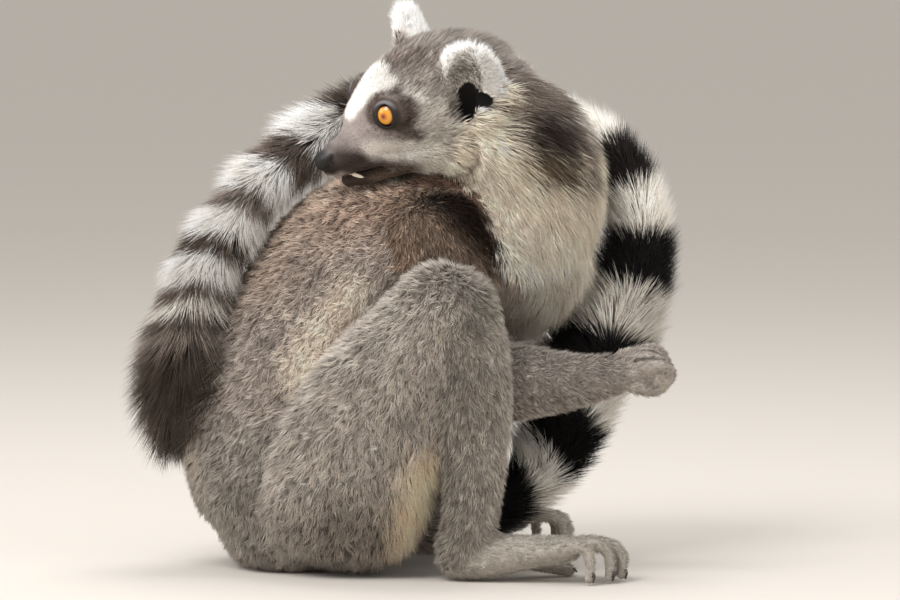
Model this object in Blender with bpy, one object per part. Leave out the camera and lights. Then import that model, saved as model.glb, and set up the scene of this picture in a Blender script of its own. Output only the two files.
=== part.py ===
"""A ring-tailed lemur sitting hunched on its rump, life size: knees up, one fist held out, the head
turned back over the right shoulder, and the tail brought forward between the feet, over the left
shoulder and down the back. Every solid reaches out to the tips of the coat.

+X is the way the trunk faces, +Y the animal's left, +Z up. Sizes below are in millimetres."""

import math

import bmesh
import bpy
from mathutils import Matrix, Vector

MM = 0.001
GAP = 0.4 * MM  # kept between neighbouring solids
SIDES = 20  # corners of each ring of a lofted form
STEPS = 4  # rings between two stations of a form
SHARP_EDGE = math.radians(50)  # a sharper edge than this, such as where two solids meet, stays crisp

# Each station is (x, y, z, half width across, half depth), out to the tips of the coat.
TRUNK = [
    (-66, 0, 34, 52, 47),
    (-65, 0, 50, 54, 55),
    (-58, 0, 80, 55, 56),
    (-41, 0, 118, 53, 56),
    (-18, 0, 150, 49, 54),
    (12, 0, 163, 46, 47),
    (42, 0, 160, 42, 46),
    (60, 0, 153, 38, 43),
]
NECK = [(50, -2, 166, 42, 42), (60, -6, 192, 38, 40), (53, -12, 213, 37, 39), (37, -17, 228, 33, 35)]
# Right limbs; the left leg is their mirror image, with its foot drawn further back by LEFT_FOOT_BACK.
THIGH = [
    (-38, -38, 36, 34, 47),
    (-25, -49, 66, 34, 45),
    (-8, -60, 95, 30, 40),
    (8, -68, 120, 27, 33),
    (17, -71, 136, 26, 28),
]
SHIN = [
    (21, -72, 134, 24, 25),
    (27, -72, 110, 22, 24),
    (30, -70, 85, 19, 22),
    (31, -67, 55, 16, 18),
    (29, -63, 30, 15, 16),
    (24, -60, 17, 14, 15),
]
FOOT = [(18, -58, 12, 13, 13), (36, -61, 12, 13, 13), (58, -64, 12, 13, 13), (78, -67, 12, 15, 12)]
LEFT_FOOT_BACK = 24
UPPER_ARM = [(10, -34, 172, 22, 30), (19, -40, 145, 20, 26), (21, -40, 115, 18, 21), (19, -38, 93, 17, 19)]
FOREARM = [
    (18, -37, 90, 19, 20),
    (50, -43, 97, 18, 21),
    (72, -49, 98, 16, 17.5),
    (90, -54, 100, 13, 14),
    (103, -58, 103, 11, 12),
]
LEFT_UPPER_ARM = [(10, 34, 172, 22, 30), (19, 40, 145, 20, 26), (22, 41, 115, 18, 21), (22, 40, 92, 17, 19)]
LEFT_FOREARM = [(22, 40, 90, 18, 19), (42, 44, 94, 17, 18), (58, 52, 98, 13, 14), (66, 60, 102, 11, 11)]
TAIL = [
    (-40, 0, 22, 20, 20),
    (0, 4, 19, 19, 19),
    (28, 7, 21, 19.5, 19.5),
    (52, 9, 35, 20, 20),
    (68, 10, 50, 20.5, 22),
    (79, 11, 68, 21, 24),
    (89, 12, 92, 22, 26),
    (102, 14, 118, 24, 28),
    (113, 16, 142, 23, 24),
    (117, 18, 165, 21, 21),
    (113, 20, 187, 20, 20),
    (102, 25, 206, 20, 20),
    (82, 35, 219, 20, 20),
    (56, 46, 224, 20, 20),
    (28, 50, 225, 20, 20),
    (0, 42, 228, 20, 20),
    (-26, 24, 229, 20.5, 20.5),
    (-50, 8, 217, 20.5, 20.5),
    (-74, -4, 198, 20, 20),
    (-88, -9, 180, 21, 21),
    (-104, -12, 154, 23, 23),
    (-112, -13, 125, 25, 25),
    (-117, -13, 97, 24, 24),
    (-121, -12, 76, 17, 17),
    (-124, -11, 63, 8, 8),
]
TAIL_LENGTHS = 8  # solids that the tail is divided into

# The head has its own axes: behind the nose tip, to its left, and up.
NOSE_TIP = Vector((-46, -36, 207))
HEAD_YAW, HEAD_PITCH, HEAD_ROLL = (math.radians(a) for a in (20, 18, 14))
HEAD_SCALE = 1.1
# (behind the nose, up, half width, half height)
SKULL = [
    (3, -0.5, 5.5, 5.5),
    (8, 0, 7.5, 8),
    (15, 1.5, 9.5, 10.5),
    (22, 4, 13, 14.5),
    (29, 7.5, 19.5, 19.5),
    (38, 9.5, 26, 24.5),
    (49, 10.5, 29, 28.5),
    (60, 10, 30.5, 31.5),
    (71, 9, 29.5, 31),
    (82, 6.5, 26, 28),
    (90, 2, 20, 22),
]
JAW = [(12, -13.5, 4, 3), (19, -14.3, 7, 4.2), (30, -14.5, 10.5, 6), (42, -12.5, 14, 9)]
CHEEK = ((53, 22, -6), (19, 10, 15))  # centre on the left side, and its three radii
TOOTH_COMB = ((14.5, 0, -10), (3.4, 2.6, 1.3))  # centre and three radii
EYE_CENTRE, EYE_RADIUS = (32, 15.5, 17), 7.4
EYE_TURN = math.radians(40)  # each eye looks this far out from straight ahead
SOCKET_RADIUS, SOCKET_RIM = 8.4, 2.8
EAR_ROOT = (69, 24, 9)
EAR_LENGTH, EAR_HALF_WIDTH, EAR_WALL = 38, 17, 4.5
EAR_CUP_CENTRE, EAR_CUP_RADII = (16, 8), (11, 17, 8)  # up the ear and out of it; across, up and out

# Colour and roughness of each kind of coat or bare part.
LOOKS = {
    "grey_brown_fur": ((0.22, 0.18, 0.14), 0.9),
    "pale_grey_fur": ((0.40, 0.36, 0.32), 0.9),
    "white_fur": ((0.72, 0.68, 0.63), 0.9),
    "banded_tail_fur": ((0.30, 0.27, 0.25), 0.9),
    "black_fur": ((0.02, 0.016, 0.015), 0.9),
    "eye_amber": ((0.55, 0.24, 0.04), 0.1),
    "tooth": ((0.80, 0.76, 0.66), 0.3),
}


def clear_scene():
    for thing in list(bpy.data.objects):
        bpy.data.objects.remove(thing)


def head_axes():
    """The head's forward, left and up directions in the model's axes."""
    forward = Vector((
        -math.cos(HEAD_YAW) * math.cos(HEAD_PITCH),
        -math.sin(HEAD_YAW) * math.cos(HEAD_PITCH),
        -math.sin(HEAD_PITCH),
    ))
    level_left = Vector((0, 0, 1)).cross(forward).normalized()
    level_up = forward.cross(level_left)
    left = level_left * math.cos(HEAD_ROLL) - level_up * math.sin(HEAD_ROLL)
    return forward, left, forward.cross(left)


FORWARD, LEFT, UP = head_axes()


def on_head(behind, left, up):
    return NOSE_TIP + HEAD_SCALE * (LEFT * left + UP * up - FORWARD * behind)


def mirrored(stations):
    return [(x, -y, z, wide, deep) for x, y, z, wide, deep in stations]


def drawn_back(stations, by):
    """Swings a shin from its knee, so that its lower end lies further back."""
    knee, ankle = stations[0][2], stations[-1][2]
    return [(x - by * (knee - z) / (knee - ankle), y, z, wide, deep) for x, y, z, wide, deep in stations]


def between(before, start, end, after, share):
    """A Catmull-Rom curve through start and end, in every number of a station."""
    return tuple(
        0.5 * (2 * b + (c - a) * share + (2 * a - 5 * b + 4 * c - d) * share**2
               + (3 * b - a - 3 * c + d) * share**3)
        for a, b, c, d in zip(before, start, end, after)
    )


def smooth_stations(stations, steps=STEPS):
    first = tuple(2 * a - b for a, b in zip(stations[0], stations[1]))
    last = tuple(2 * a - b for a, b in zip(stations[-1], stations[-2]))
    knots = [first, *stations, last]
    found = []
    for i in range(1, len(knots) - 2):
        for step in range(steps):
            found.append(between(*knots[i - 1:i + 3], step / steps))
    return [*found, stations[-1]]


def tangents_along(points):
    """The direction of the path at each of its points."""
    last = len(points) - 1
    return [(points[min(i + 1, last)] - points[max(i - 1, 0)]).normalized() for i in range(last + 1)]


def domed(rings, dome_angles, blunt):
    """The rings with smaller ones added beyond both ends, as on a rounded tip."""
    for end, sign in ((0, -1), (-1, 1)):
        point, tangent, wide, deep = rings[end]
        reach = blunt * min(wide, deep) * sign
        dome = [
            (point + tangent * reach * math.sin(a), tangent, wide * math.cos(a), deep * math.cos(a))
            for a in map(math.radians, dome_angles)
        ]
        rings = dome + rings if sign < 0 else rings + dome[::-1]
    return rings


def loft(bm, stations, side=(0, 1, 0), steps=STEPS, sides=SIDES, blunt=1.0, dome_angles=(80, 55, 28)):
    """A closed form with elliptical rings square to its path and a dome at each end."""
    fine = smooth_stations(stations, steps)
    points = [Vector(s[:3]) for s in fine]
    rings = [(p, t, s[3], s[4]) for p, t, s in zip(points, tangents_along(points), fine)]
    across = Vector(side)
    previous = None
    for point, tangent, wide, deep in domed(rings, dome_angles, blunt):
        across = (across - tangent * across.dot(tangent)).normalized()
        other = tangent.cross(across)
        matrix = Matrix.Translation(point) @ Matrix(
            (across * wide, other * deep, tangent)).transposed().to_4x4()
        first = previous is None
        ring = bmesh.ops.create_circle(bm, cap_ends=first, radius=1, segments=sides, matrix=matrix)
        edges = list({e for v in ring["verts"] for e in v.link_edges})
        if previous:
            bmesh.ops.bridge_loops(bm, edges=previous + edges)
        previous = edges
    bmesh.ops.contextual_create(bm, geom=previous)
    bmesh.ops.recalc_face_normals(bm, faces=bm.faces)


def ball(bm, centre, radii, axes=None):
    """An ellipsoid, turned to axes if they are given."""
    turn = Matrix(axes).transposed().to_4x4() if axes else Matrix.Identity(4)
    matrix = Matrix.Translation(centre) @ turn @ Matrix.Diagonal((*radii, 1))
    bmesh.ops.create_icosphere(bm, subdivisions=3, radius=1, matrix=matrix)


def torus(bm, centre, axis, radius, thick, sides=28):
    """A ring made by spinning a small circle about its axis."""
    across = axis.orthogonal().normalized()
    matrix = Matrix.Translation(centre + across * radius) @ Matrix(
        (across, axis, across.cross(axis))).transposed().to_4x4()
    ring = bmesh.ops.create_circle(bm, radius=thick, segments=10, matrix=matrix)
    edges = list({e for v in ring["verts"] for e in v.link_edges})
    bmesh.ops.spin(
        bm, geom=edges + ring["verts"], cent=centre, axis=axis, angle=math.tau, steps=sides, use_merge=True)


def head_loft(bm, stations, **how):
    rings = [(*on_head(a, 0, c), w * HEAD_SCALE, h * HEAD_SCALE) for a, c, w, h in stations]
    loft(bm, rings, side=LEFT, **how)


def head_ball(bm, centre, radii):
    ball(bm, on_head(*centre), [r * HEAD_SCALE for r in radii], (-FORWARD, LEFT, UP))


def new_object(name, bm):
    bm.transform(Matrix.Scale(MM, 4))
    mesh = bpy.data.meshes.new(name)
    bm.to_mesh(mesh)
    bm.free()
    thing = bpy.data.objects.new(name, mesh)
    bpy.context.scene.collection.objects.link(thing)
    return thing


def new_cutter(name, bm):
    cutter = new_object(name, bm)
    cutter.hide_render = True
    cutter.display_type = "WIRE"
    return cutter


def apply_modifiers(thing):
    graph = bpy.context.evaluated_depsgraph_get()
    mesh = bpy.data.meshes.new_from_object(thing.evaluated_get(graph))
    thing.modifiers.clear()
    thing.data = mesh


def triangle_count(thing):
    return sum(len(p.vertices) - 2 for p in thing.data.polygons)


def fuse(thing, voxel, smoothing, triangles):
    """Joins the overlapping forms into one skin, rounds the creases, and thins it to a triangle count."""
    remesh = thing.modifiers.new("fuse", "REMESH")
    remesh.mode = "VOXEL"
    remesh.voxel_size = voxel * MM
    smooth = thing.modifiers.new("round", "SMOOTH")
    smooth.factor = 0.5
    smooth.iterations = smoothing
    apply_modifiers(thing)
    thin = thing.modifiers.new("thin", "DECIMATE")
    thin.ratio = min(1, triangles / triangle_count(thing))
    apply_modifiers(thing)


def cut_away(thing, cutter):
    modifier = thing.modifiers.new("cut", "BOOLEAN")
    modifier.object = cutter
    modifier.operation = "DIFFERENCE"
    modifier.solver = "EXACT"
    apply_modifiers(thing)


def islands_of(bm):
    """The separate bodies of a mesh, each as a set of points."""
    left, islands = set(bm.verts), []
    while left:
        island, front = set(), [left.pop()]
        while front:
            vert = front.pop()
            island.add(vert)
            others = {e.other_vert(vert) for e in vert.link_edges} & left
            left -= others
            front.extend(others)
        islands.append(island)
    return sorted(islands, key=len)


def keep_largest(thing):
    """Drops the loose slivers that a cut can leave."""
    bm = bmesh.new()
    bm.from_mesh(thing.data)
    bmesh.ops.dissolve_degenerate(bm, dist=0.02 * MM, edges=bm.edges)
    bmesh.ops.triangulate(bm, faces=bm.faces)
    for island in islands_of(bm)[:-1]:
        bmesh.ops.delete(bm, geom=list(island), context="VERTS")
    bm.to_mesh(thing.data)
    bm.free()


def swollen_copy(thing, by):
    """A cutter with the same form, larger by the given distance on every side."""
    bm = bmesh.new()
    bm.from_mesh(thing.data)
    for vert in bm.verts:
        vert.co += vert.normal * by
    bm.transform(Matrix.Scale(1 / MM, 4))
    return new_cutter("cutter", bm)


def boxes_meet(a, b):
    lows = [[min(v.co[i] for v in t.data.vertices) for i in range(3)] for t in (a, b)]
    highs = [[max(v.co[i] for v in t.data.vertices) for i in range(3)] for t in (a, b)]
    return all(lows[0][i] < highs[1][i] and lows[1][i] < highs[0][i] for i in range(3))


def flatten_underside(thing):
    """Cuts off what reaches below the floor, which leaves a small flat at that level."""
    bm = bmesh.new()
    bm.from_mesh(thing.data)
    geometry = [*bm.verts, *bm.edges, *bm.faces]
    cut = bmesh.ops.bisect_plane(
        bm, geom=geometry, plane_co=(0, 0, 0), plane_no=(0, 0, -1), clear_outer=True)
    rim = [e for e in cut["geom_cut"] if isinstance(e, bmesh.types.BMEdge)]
    if rim:
        bmesh.ops.triangle_fill(bm, edges=rim, use_beauty=True)
        bmesh.ops.recalc_face_normals(bm, faces=bm.faces)
    bm.to_mesh(thing.data)
    bm.free()


def part_solids(things):
    """Gives each solid its own space: a later one is cut back from every earlier one, with a thin gap."""
    cutters = [swollen_copy(thing, GAP) for thing in things]
    for i, thing in enumerate(things):
        for cutter in cutters[:i]:
            if boxes_meet(thing, cutter):
                cut_away(thing, cutter)
        keep_largest(thing)
    for cutter in cutters:
        bpy.data.objects.remove(cutter)


def limb(name, stations, triangles, voxel=2.5, smoothing=4):
    bm = bmesh.new()
    loft(bm, stations)
    thing = new_object(name, bm)
    fuse(thing, voxel, smoothing, triangles)
    return thing


def digits(bm, place, plans, thick):
    """Fingers or toes: thin tapering forms through a few points of the palm's or sole's own frame."""
    for plan in plans:
        stations = []
        for i, point in enumerate(plan):
            radius = thick * (1 - 0.12 * i)
            stations.append((*place(*point), radius, radius))
        loft(bm, stations, side=(0.3, 1, 0.2), steps=3, sides=10)


def fist(name, wrist, along, back, triangles=260):
    """A closed hand. along runs from the wrist to the knuckles and back out of the back of the hand."""
    along, back = Vector(along).normalized(), Vector(back)
    back = (back - along * back.dot(along)).normalized()
    across = along.cross(back)

    def place(out, up, over):
        return Vector(wrist) + along * out + back * up + across * over

    bm = bmesh.new()
    palm = [(*place(-3, 0, 0), 10, 9), (*place(6, 0.5, 0), 11.5, 10), (*place(14, 0, 0), 12.5, 9)]
    loft(bm, palm, side=across)
    finger = [(13, 2.5, 1), (21, 1.5, 1.05), (24.5, -5.5, 1), (19, -11.5, 0.9), (12, -10.5, 0.8)]
    rows = [-8.4, -2.8, 2.8, 8.4]  # of the four fingers across the palm
    digits(bm, place, [[(out, up, row * spread) for out, up, spread in finger] for row in rows], 4.4)
    thumb = [(4, -4, 9), (11, -9, 10), (17, -13.5, 5), (20, -14, -1)]
    digits(bm, place, [thumb], 4.4)
    thing = new_object(name, bm)
    fuse(thing, 1.2, 3, triangles)
    return thing


def foot(name, side, back=0, triangles=260):
    """A flat foot, its toes bent down to the floor. side is -1 for the right foot and 1 for the left."""
    stations = [(x - back, -side * y, z, wide, deep) for x, y, z, wide, deep in FOOT]
    bm = bmesh.new()
    loft(bm, stations)
    ball_x, ball_y = stations[-1][:2]

    def place(out, over, up):
        return Vector((ball_x + out, ball_y + side * over, up))

    toes = []
    for over, reach in ((11, 17), (4.2, 23), (-2.6, 25), (-9.5, 21)):
        toes.append([
            (-5, over * 0.8, 16),
            (reach * 0.5, over, 18),
            (reach * 0.85, over * 1.1, 13),
            (reach, over * 1.15, 3),
        ])
    digits(bm, place, toes, 5.2)
    great_toe = [(-30, -8, 11), (-18, -17, 8.5), (-7, -23, 5), (1, -24, 3)]
    digits(bm, place, [great_toe], 5.6)
    thing = new_object(name, bm)
    fuse(thing, 1.5, 3, triangles)
    return thing


def eye_look(side):
    """The way an eye faces: out to its side and a little up."""
    return (FORWARD * math.cos(EYE_TURN) + LEFT * side * math.sin(EYE_TURN) + UP * 0.1).normalized()


def head():
    bm = bmesh.new()
    head_loft(bm, SKULL)
    for side in (1, -1):
        (behind, out, up), radii = CHEEK
        head_ball(bm, (behind, out * side, up), radii)
        behind, out, up = EYE_CENTRE
        look = eye_look(side)
        rim = on_head(behind, out * side, up) + look * EYE_RADIUS * 0.35 * HEAD_SCALE
        torus(bm, rim, look, SOCKET_RADIUS * HEAD_SCALE, SOCKET_RIM * HEAD_SCALE)
    thing = new_object("head", bm)
    fuse(thing, 1.6, 4, 850)
    return thing


def jaw():
    bm = bmesh.new()
    head_loft(bm, JAW)
    thing = new_object("jaw", bm)
    fuse(thing, 1.2, 2, 130)
    return thing


def tooth_comb():
    """The close row of thin lower front teeth, which lean forward as one small blade."""
    bm = bmesh.new()
    head_ball(bm, *TOOTH_COMB)
    thing = new_object("tooth_comb", bm)
    fuse(thing, 0.6, 1, 50)
    return thing


def ear_axes(side):
    """The ear's root, and its directions across, up its length and out of its opening."""
    root = on_head(EAR_ROOT[0], EAR_ROOT[1] * side, EAR_ROOT[2])
    rise = (UP * 0.93 + LEFT * side * 0.42 - FORWARD * 0.1).normalized()
    out = (LEFT * side * 0.72 + FORWARD * 0.62).normalized()
    out = (out - rise * out.dot(rise)).normalized()
    return root, rise.cross(out), rise, out


def ear(name, side):
    """A rounded blade, widest at mid height."""
    root, across, rise, out = ear_axes(side)
    stations = []
    for share, wide in ((0, 0.72), (0.3, 0.98), (0.6, 1.0), (0.85, 0.68), (0.97, 0.3)):
        point = root + rise * EAR_LENGTH * share * HEAD_SCALE
        stations.append((*point, EAR_HALF_WIDTH * wide * HEAD_SCALE, EAR_WALL * (1.5 - share) * HEAD_SCALE))
    bm = bmesh.new()
    loft(bm, stations, side=across, blunt=0.3)
    thing = new_object(name, bm)
    fuse(thing, 1.2, 3, 150)
    return thing


def hollow_ear(thing, side):
    """Scoops the cup out of the side of an ear that faces forward and out."""
    root, across, rise, out = ear_axes(side)
    bm = bmesh.new()
    up_ear, out_of_ear = EAR_CUP_CENTRE
    centre = root + (rise * up_ear + out * out_of_ear) * HEAD_SCALE
    ball(bm, centre, [r * HEAD_SCALE for r in EAR_CUP_RADII], (across, rise, out))
    cup = new_cutter("ear_cup", bm)
    fuse(cup, 2.0, 1, 90)
    cut_away(thing, cup)
    bpy.data.objects.remove(cup)
    keep_largest(thing)


def eye(name, side):
    bm = bmesh.new()
    behind, out, up = EYE_CENTRE
    ball(bm, on_head(behind, out * side, up), [EYE_RADIUS * HEAD_SCALE] * 3)
    thing = new_object(name, bm)
    fuse(thing, 1.0, 1, 110)
    return thing


def trunk():
    bm = bmesh.new()
    loft(bm, TRUNK)
    thing = new_object("trunk", bm)
    fuse(thing, 3, 4, 340)
    return thing


def tail_lengths():
    """The tail in lengths of equal numbers of stations, which meet end to end."""
    span = (len(TAIL) - 1) // TAIL_LENGTHS
    found = []
    for i in range(TAIL_LENGTHS):
        bm = bmesh.new()
        stretch = TAIL[i * span:(i + 1) * span + 1]
        loft(bm, stretch, steps=1, sides=11, blunt=0.12, dome_angles=(40,))
        found.append(new_object(f"tail_{i + 1}", bm))
    return found


def give_look(thing, kind):
    """Each solid has a material of its own, with the colour and roughness of its kind."""
    colour, roughness = LOOKS[kind]
    material = bpy.data.materials.new(f"{thing.name}_{kind}")
    material.use_nodes = True
    shader = material.node_tree.nodes["Principled BSDF"]
    shader.inputs["Base Color"].default_value = (*colour, 1)
    shader.inputs["Roughness"].default_value = roughness
    shader.inputs["Metallic"].default_value = 0
    thing.data.materials.clear()
    thing.data.materials.append(material)


def shade(thing):
    thing.data.shade_smooth()
    thing.data.set_sharp_from_angle(angle=SHARP_EDGE)


def stand_on_origin(things):
    """Parents every solid to one empty, placed so that the footprint is centred on the origin."""
    points = [v.co for t in things for v in t.data.vertices]
    middle = [(min(p[i] for p in points) + max(p[i] for p in points)) / 2 for i in range(2)]
    whole = bpy.data.objects.new("lemur", None)
    bpy.context.scene.collection.objects.link(whole)
    whole.location = (-middle[0], -middle[1], 0)
    for thing in things:
        thing.parent = whole


def main():
    clear_scene()
    # Earlier solids keep their full form; a later one gives way where two would meet.
    made = [
        (eye("eye_left", 1), "eye_amber"),
        (eye("eye_right", -1), "eye_amber"),
        (ear("ear_left", 1), "white_fur"),
        (ear("ear_right", -1), "white_fur"),
        (head(), "pale_grey_fur"),
        (tooth_comb(), "tooth"),
        (jaw(), "white_fur"),
        (limb("neck", NECK, 160), "white_fur"),
        (foot("foot_right", -1), "pale_grey_fur"),
        (foot("foot_left", 1, LEFT_FOOT_BACK), "pale_grey_fur"),
        (fist("hand_right", FOREARM[-1][:3], (0.93, 0.05, 0.34), (0.25, -0.35, 0.9)), "pale_grey_fur"),
        (fist("hand_left", LEFT_FOREARM[-1][:3], (-0.2, 0.95, 0.1), (0.95, 0.2, 0.2)), "pale_grey_fur"),
        (limb("shin_right", SHIN, 130), "pale_grey_fur"),
        (limb("shin_left", drawn_back(mirrored(SHIN), LEFT_FOOT_BACK), 130), "pale_grey_fur"),
        (limb("thigh_right", THIGH, 160), "grey_brown_fur"),
        (limb("thigh_left", mirrored(THIGH), 160), "grey_brown_fur"),
        (limb("forearm_right", FOREARM, 100), "pale_grey_fur"),
        (limb("forearm_left", LEFT_FOREARM, 100), "pale_grey_fur"),
        (limb("upper_arm_right", UPPER_ARM, 90), "grey_brown_fur"),
        (limb("upper_arm_left", LEFT_UPPER_ARM, 90), "grey_brown_fur"),
    ]
    made += [(length, "banded_tail_fur") for length in tail_lengths()]
    made += [(trunk(), "grey_brown_fur")]
    solids = [thing for thing, kind in made]
    for thing in solids:
        flatten_underside(thing)
    part_solids(solids)
    for name, side in (("ear_left", 1), ("ear_right", -1)):
        hollow_ear(bpy.data.objects[name], side)
    for thing, kind in made:
        give_look(thing, kind)
        shade(thing)
    stand_on_origin(solids)


main()
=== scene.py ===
# %% [markdown]
# # A ring-tailed lemur, life size
# A still museum model: a sitting ring-tailed lemur with its knees drawn up, one fist held out, its
# head turned back and its long ringed tail brought up in front and laid over the shoulder.
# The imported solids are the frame. They reach out to the tips of the coat, so everything made here
# lies inside them: one skin with no seam, the eyes, nails and teeth, and then the coat in tufts.

import math

import bmesh
import bpy
import numpy as np
from mathutils import Matrix, Vector
from mathutils.bvhtree import BVHTree
from mathutils.kdtree import KDTree


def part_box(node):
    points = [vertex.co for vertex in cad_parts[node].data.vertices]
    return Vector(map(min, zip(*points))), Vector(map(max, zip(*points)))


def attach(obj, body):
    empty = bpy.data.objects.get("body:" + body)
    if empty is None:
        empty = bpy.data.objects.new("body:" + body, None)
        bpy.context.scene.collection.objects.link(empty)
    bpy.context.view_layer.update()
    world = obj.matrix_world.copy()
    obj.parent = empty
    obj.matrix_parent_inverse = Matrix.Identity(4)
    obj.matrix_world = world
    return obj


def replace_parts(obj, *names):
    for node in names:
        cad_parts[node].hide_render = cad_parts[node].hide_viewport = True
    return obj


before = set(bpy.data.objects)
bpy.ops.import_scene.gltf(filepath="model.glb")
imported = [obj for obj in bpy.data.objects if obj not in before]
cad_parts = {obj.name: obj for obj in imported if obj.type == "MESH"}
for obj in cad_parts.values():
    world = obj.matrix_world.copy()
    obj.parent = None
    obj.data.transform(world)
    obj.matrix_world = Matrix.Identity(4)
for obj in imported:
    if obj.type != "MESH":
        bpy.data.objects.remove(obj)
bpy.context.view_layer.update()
MM = 0.001
dice = np.random.default_rng(11)
print("solids in the frame:", len(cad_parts))

# %% [markdown]
# ## The head's own axes
# The head is turned, tipped and leaned, so its parts are placed in its own axes: millimetres behind
# the nose tip, to the animal's left, and up. The left eyeball is a whole ball in the frame, so the
# middle of its box ties these axes to the frame.

# %% The head's axes and the place of everything in the frame
NOSE_TIP = Vector((-46, -36, 207))
HEAD_YAW, HEAD_PITCH, HEAD_ROLL = (math.radians(a) for a in (20, 18, 14))
HEAD_SCALE = 1.1
EYE_CENTRE, EYE_RADIUS = (32, 15.5, 17), 7.4


def head_axes():
    """Forward, left and up of the head."""
    forward = Vector((
        -math.cos(HEAD_YAW) * math.cos(HEAD_PITCH),
        -math.sin(HEAD_YAW) * math.cos(HEAD_PITCH),
        -math.sin(HEAD_PITCH),
    ))
    level_left = Vector((0, 0, 1)).cross(forward).normalized()
    level_up = forward.cross(level_left)
    left = level_left * math.cos(HEAD_ROLL) - level_up * math.sin(HEAD_ROLL)
    return forward, left, forward.cross(left)


FORWARD, LEFT, UP = head_axes()


def on_head(behind, left, up):
    """A place on the head, in the maker's axes: the frame's in millimetres, but for a shift."""
    return NOSE_TIP + HEAD_SCALE * (LEFT * left + UP * up - FORWARD * behind)


SHIFT = sum(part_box("eye_left"), Vector()) / 2 / MM - on_head(*EYE_CENTRE)
TO_FRAME = Matrix.Translation(SHIFT * MM) @ Matrix.Scale(MM, 4)
print("millimetres from the maker's axes to the frame:", [round(v, 2) for v in SHIFT])

# %% [markdown]
# ## Camera, light and floor
# A long lens from two and a half metres keeps the animal's proportions true. One large soft lamp
# above and to the left models the form, a weaker one fills from the right, and a pale floor
# bounces light up under the belly.

# %% Camera
def put_in_scene(name, data):
    """A new object at the origin."""
    thing = bpy.data.objects.new(name, data)
    bpy.context.scene.collection.objects.link(thing)
    return thing


def aim(thing, place):
    """Sets a lamp or the camera at that place, and turns it to the target."""
    thing.location = place
    thing.rotation_euler = (TARGET - thing.location).to_track_quat("-Z", "Y").to_euler()


TARGET = (Vector((19.5, -30, 137.5)) + SHIFT) * MM
DISTANCE, ELEVATION = 2.5, math.radians(4)
lens = bpy.data.cameras.new("camera")
lens.lens, lens.sensor_width = 200, 36
camera = put_in_scene("camera", lens)
aim(camera, TARGET + DISTANCE * Vector((0, -math.cos(ELEVATION), math.sin(ELEVATION))))
bpy.context.scene.camera = camera
print("camera height:", round(camera.location.z, 3), "m")

# %% Lamps and sky
LAMPS = [  # name, place in metres, size in metres, watts
    ("key", (-0.8, -1.2, 1.6), 1.0, 26),
    ("fill", (1.3, -1.3, 0.8), 1.4, 5),
    ("side", (-1.7, -0.5, 0.8), 1.2, 10),
    ("top", (0.1, 0.3, 1.6), 0.9, 9),
]
for name, place, size, watts in LAMPS:
    lamp = put_in_scene(name, bpy.data.lights.new(name, "AREA"))
    lamp.data.size, lamp.data.energy = size, watts
    aim(lamp, place)
sky = bpy.data.worlds.new("studio")
sky.use_nodes = True
background = sky.node_tree.nodes["Background"]
background.inputs["Color"].default_value = (0.86, 0.83, 0.80, 1)
background.inputs["Strength"].default_value = 0.75
bpy.context.scene.world = sky
bpy.context.scene.view_settings.view_transform = "Standard"
print("lamps:", len(LAMPS))

# %% [markdown]
# ## Colours and nodes
# Colours are written as the hex values that a paint card would give, and one function turns them
# into the linear numbers that light is worked out with. One more function adds a shader node with
# its settings and links. Skin and fur both take the colour that their mesh carries and mottle it.


# %% Helpers for materials
def linear(hex_colour):
    """The linear red, green and blue of an sRGB hex colour."""
    values = [int(hex_colour[i:i + 2], 16) / 255 for i in (1, 3, 5)]
    return np.array([v / 12.92 if v <= 0.04045 else ((v + 0.055) / 1.055) ** 2.4 for v in values])


def add(tree, kind, settings=(), **links):
    """Adds a node: settings are its own, or (input name, value) pairs; links go to inputs by name."""
    node = tree.nodes.new(kind)
    for name, value in settings:
        if name in node.inputs and not hasattr(node, name):
            node.inputs[name].default_value = value
        else:
            setattr(node, name, value)
    link(node, **links)
    return node


def link(node, **links):
    for name, source in links.items():
        node.id_data.links.new(source, node.inputs[name.replace("_", " ")])


def mottled_coat(tree, place, size, detail, darkest, brightest):
    """The colour that the mesh carries, made lighter and darker in spots of that size in mm."""
    colour = add(tree, "ShaderNodeAttribute", [("attribute_name", "coat")]).outputs["Color"]
    spots = [("Scale", 1 / (size * MM)), ("Detail", detail)]
    mottle = add(tree, "ShaderNodeTexNoise", spots, Vector=place).outputs["Fac"]
    limits = [("To Min", darkest), ("To Max", brightest)]
    tone = add(tree, "ShaderNodeMapRange", limits, Value=mottle).outputs["Result"]
    scale = [("operation", "SCALE")]
    return add(tree, "ShaderNodeVectorMath", scale, Vector=colour, Scale=tone).outputs["Vector"]


def new_material(name, **sockets):
    """A Principled material with constants set straight on its sockets; its tree and its shader."""
    material = bpy.data.materials.new(name)
    material.use_nodes = True
    shader = material.node_tree.nodes["Principled BSDF"]
    for socket, value in sockets.items():
        shader.inputs[socket.replace("_", " ")].default_value = value
    return material, material.node_tree, shader


# %% The floor: matt paper
def studio_floor():
    bm = bmesh.new()
    bmesh.ops.create_grid(bm, x_segments=1, y_segments=1, size=80)
    mesh = bpy.data.meshes.new("floor")
    bm.to_mesh(mesh)
    bm.free()
    paper = (*linear("#d9d3cb"), 1)
    mesh.materials.append(new_material("matt_studio_paper", Roughness=0.9, Base_Color=paper)[0])
    return put_in_scene("floor", mesh)


studio_floor()

# %% [markdown]
# ## Sizes
# The frame's forms are lofts through stations, each with its place and its two half widths. The same
# stations are repeated here, because the skin has to follow the same forms. COAT gives for each form
# how deep its coat is: the skin is that much slimmer than the solid, and the tufts fill the rest.

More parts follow.
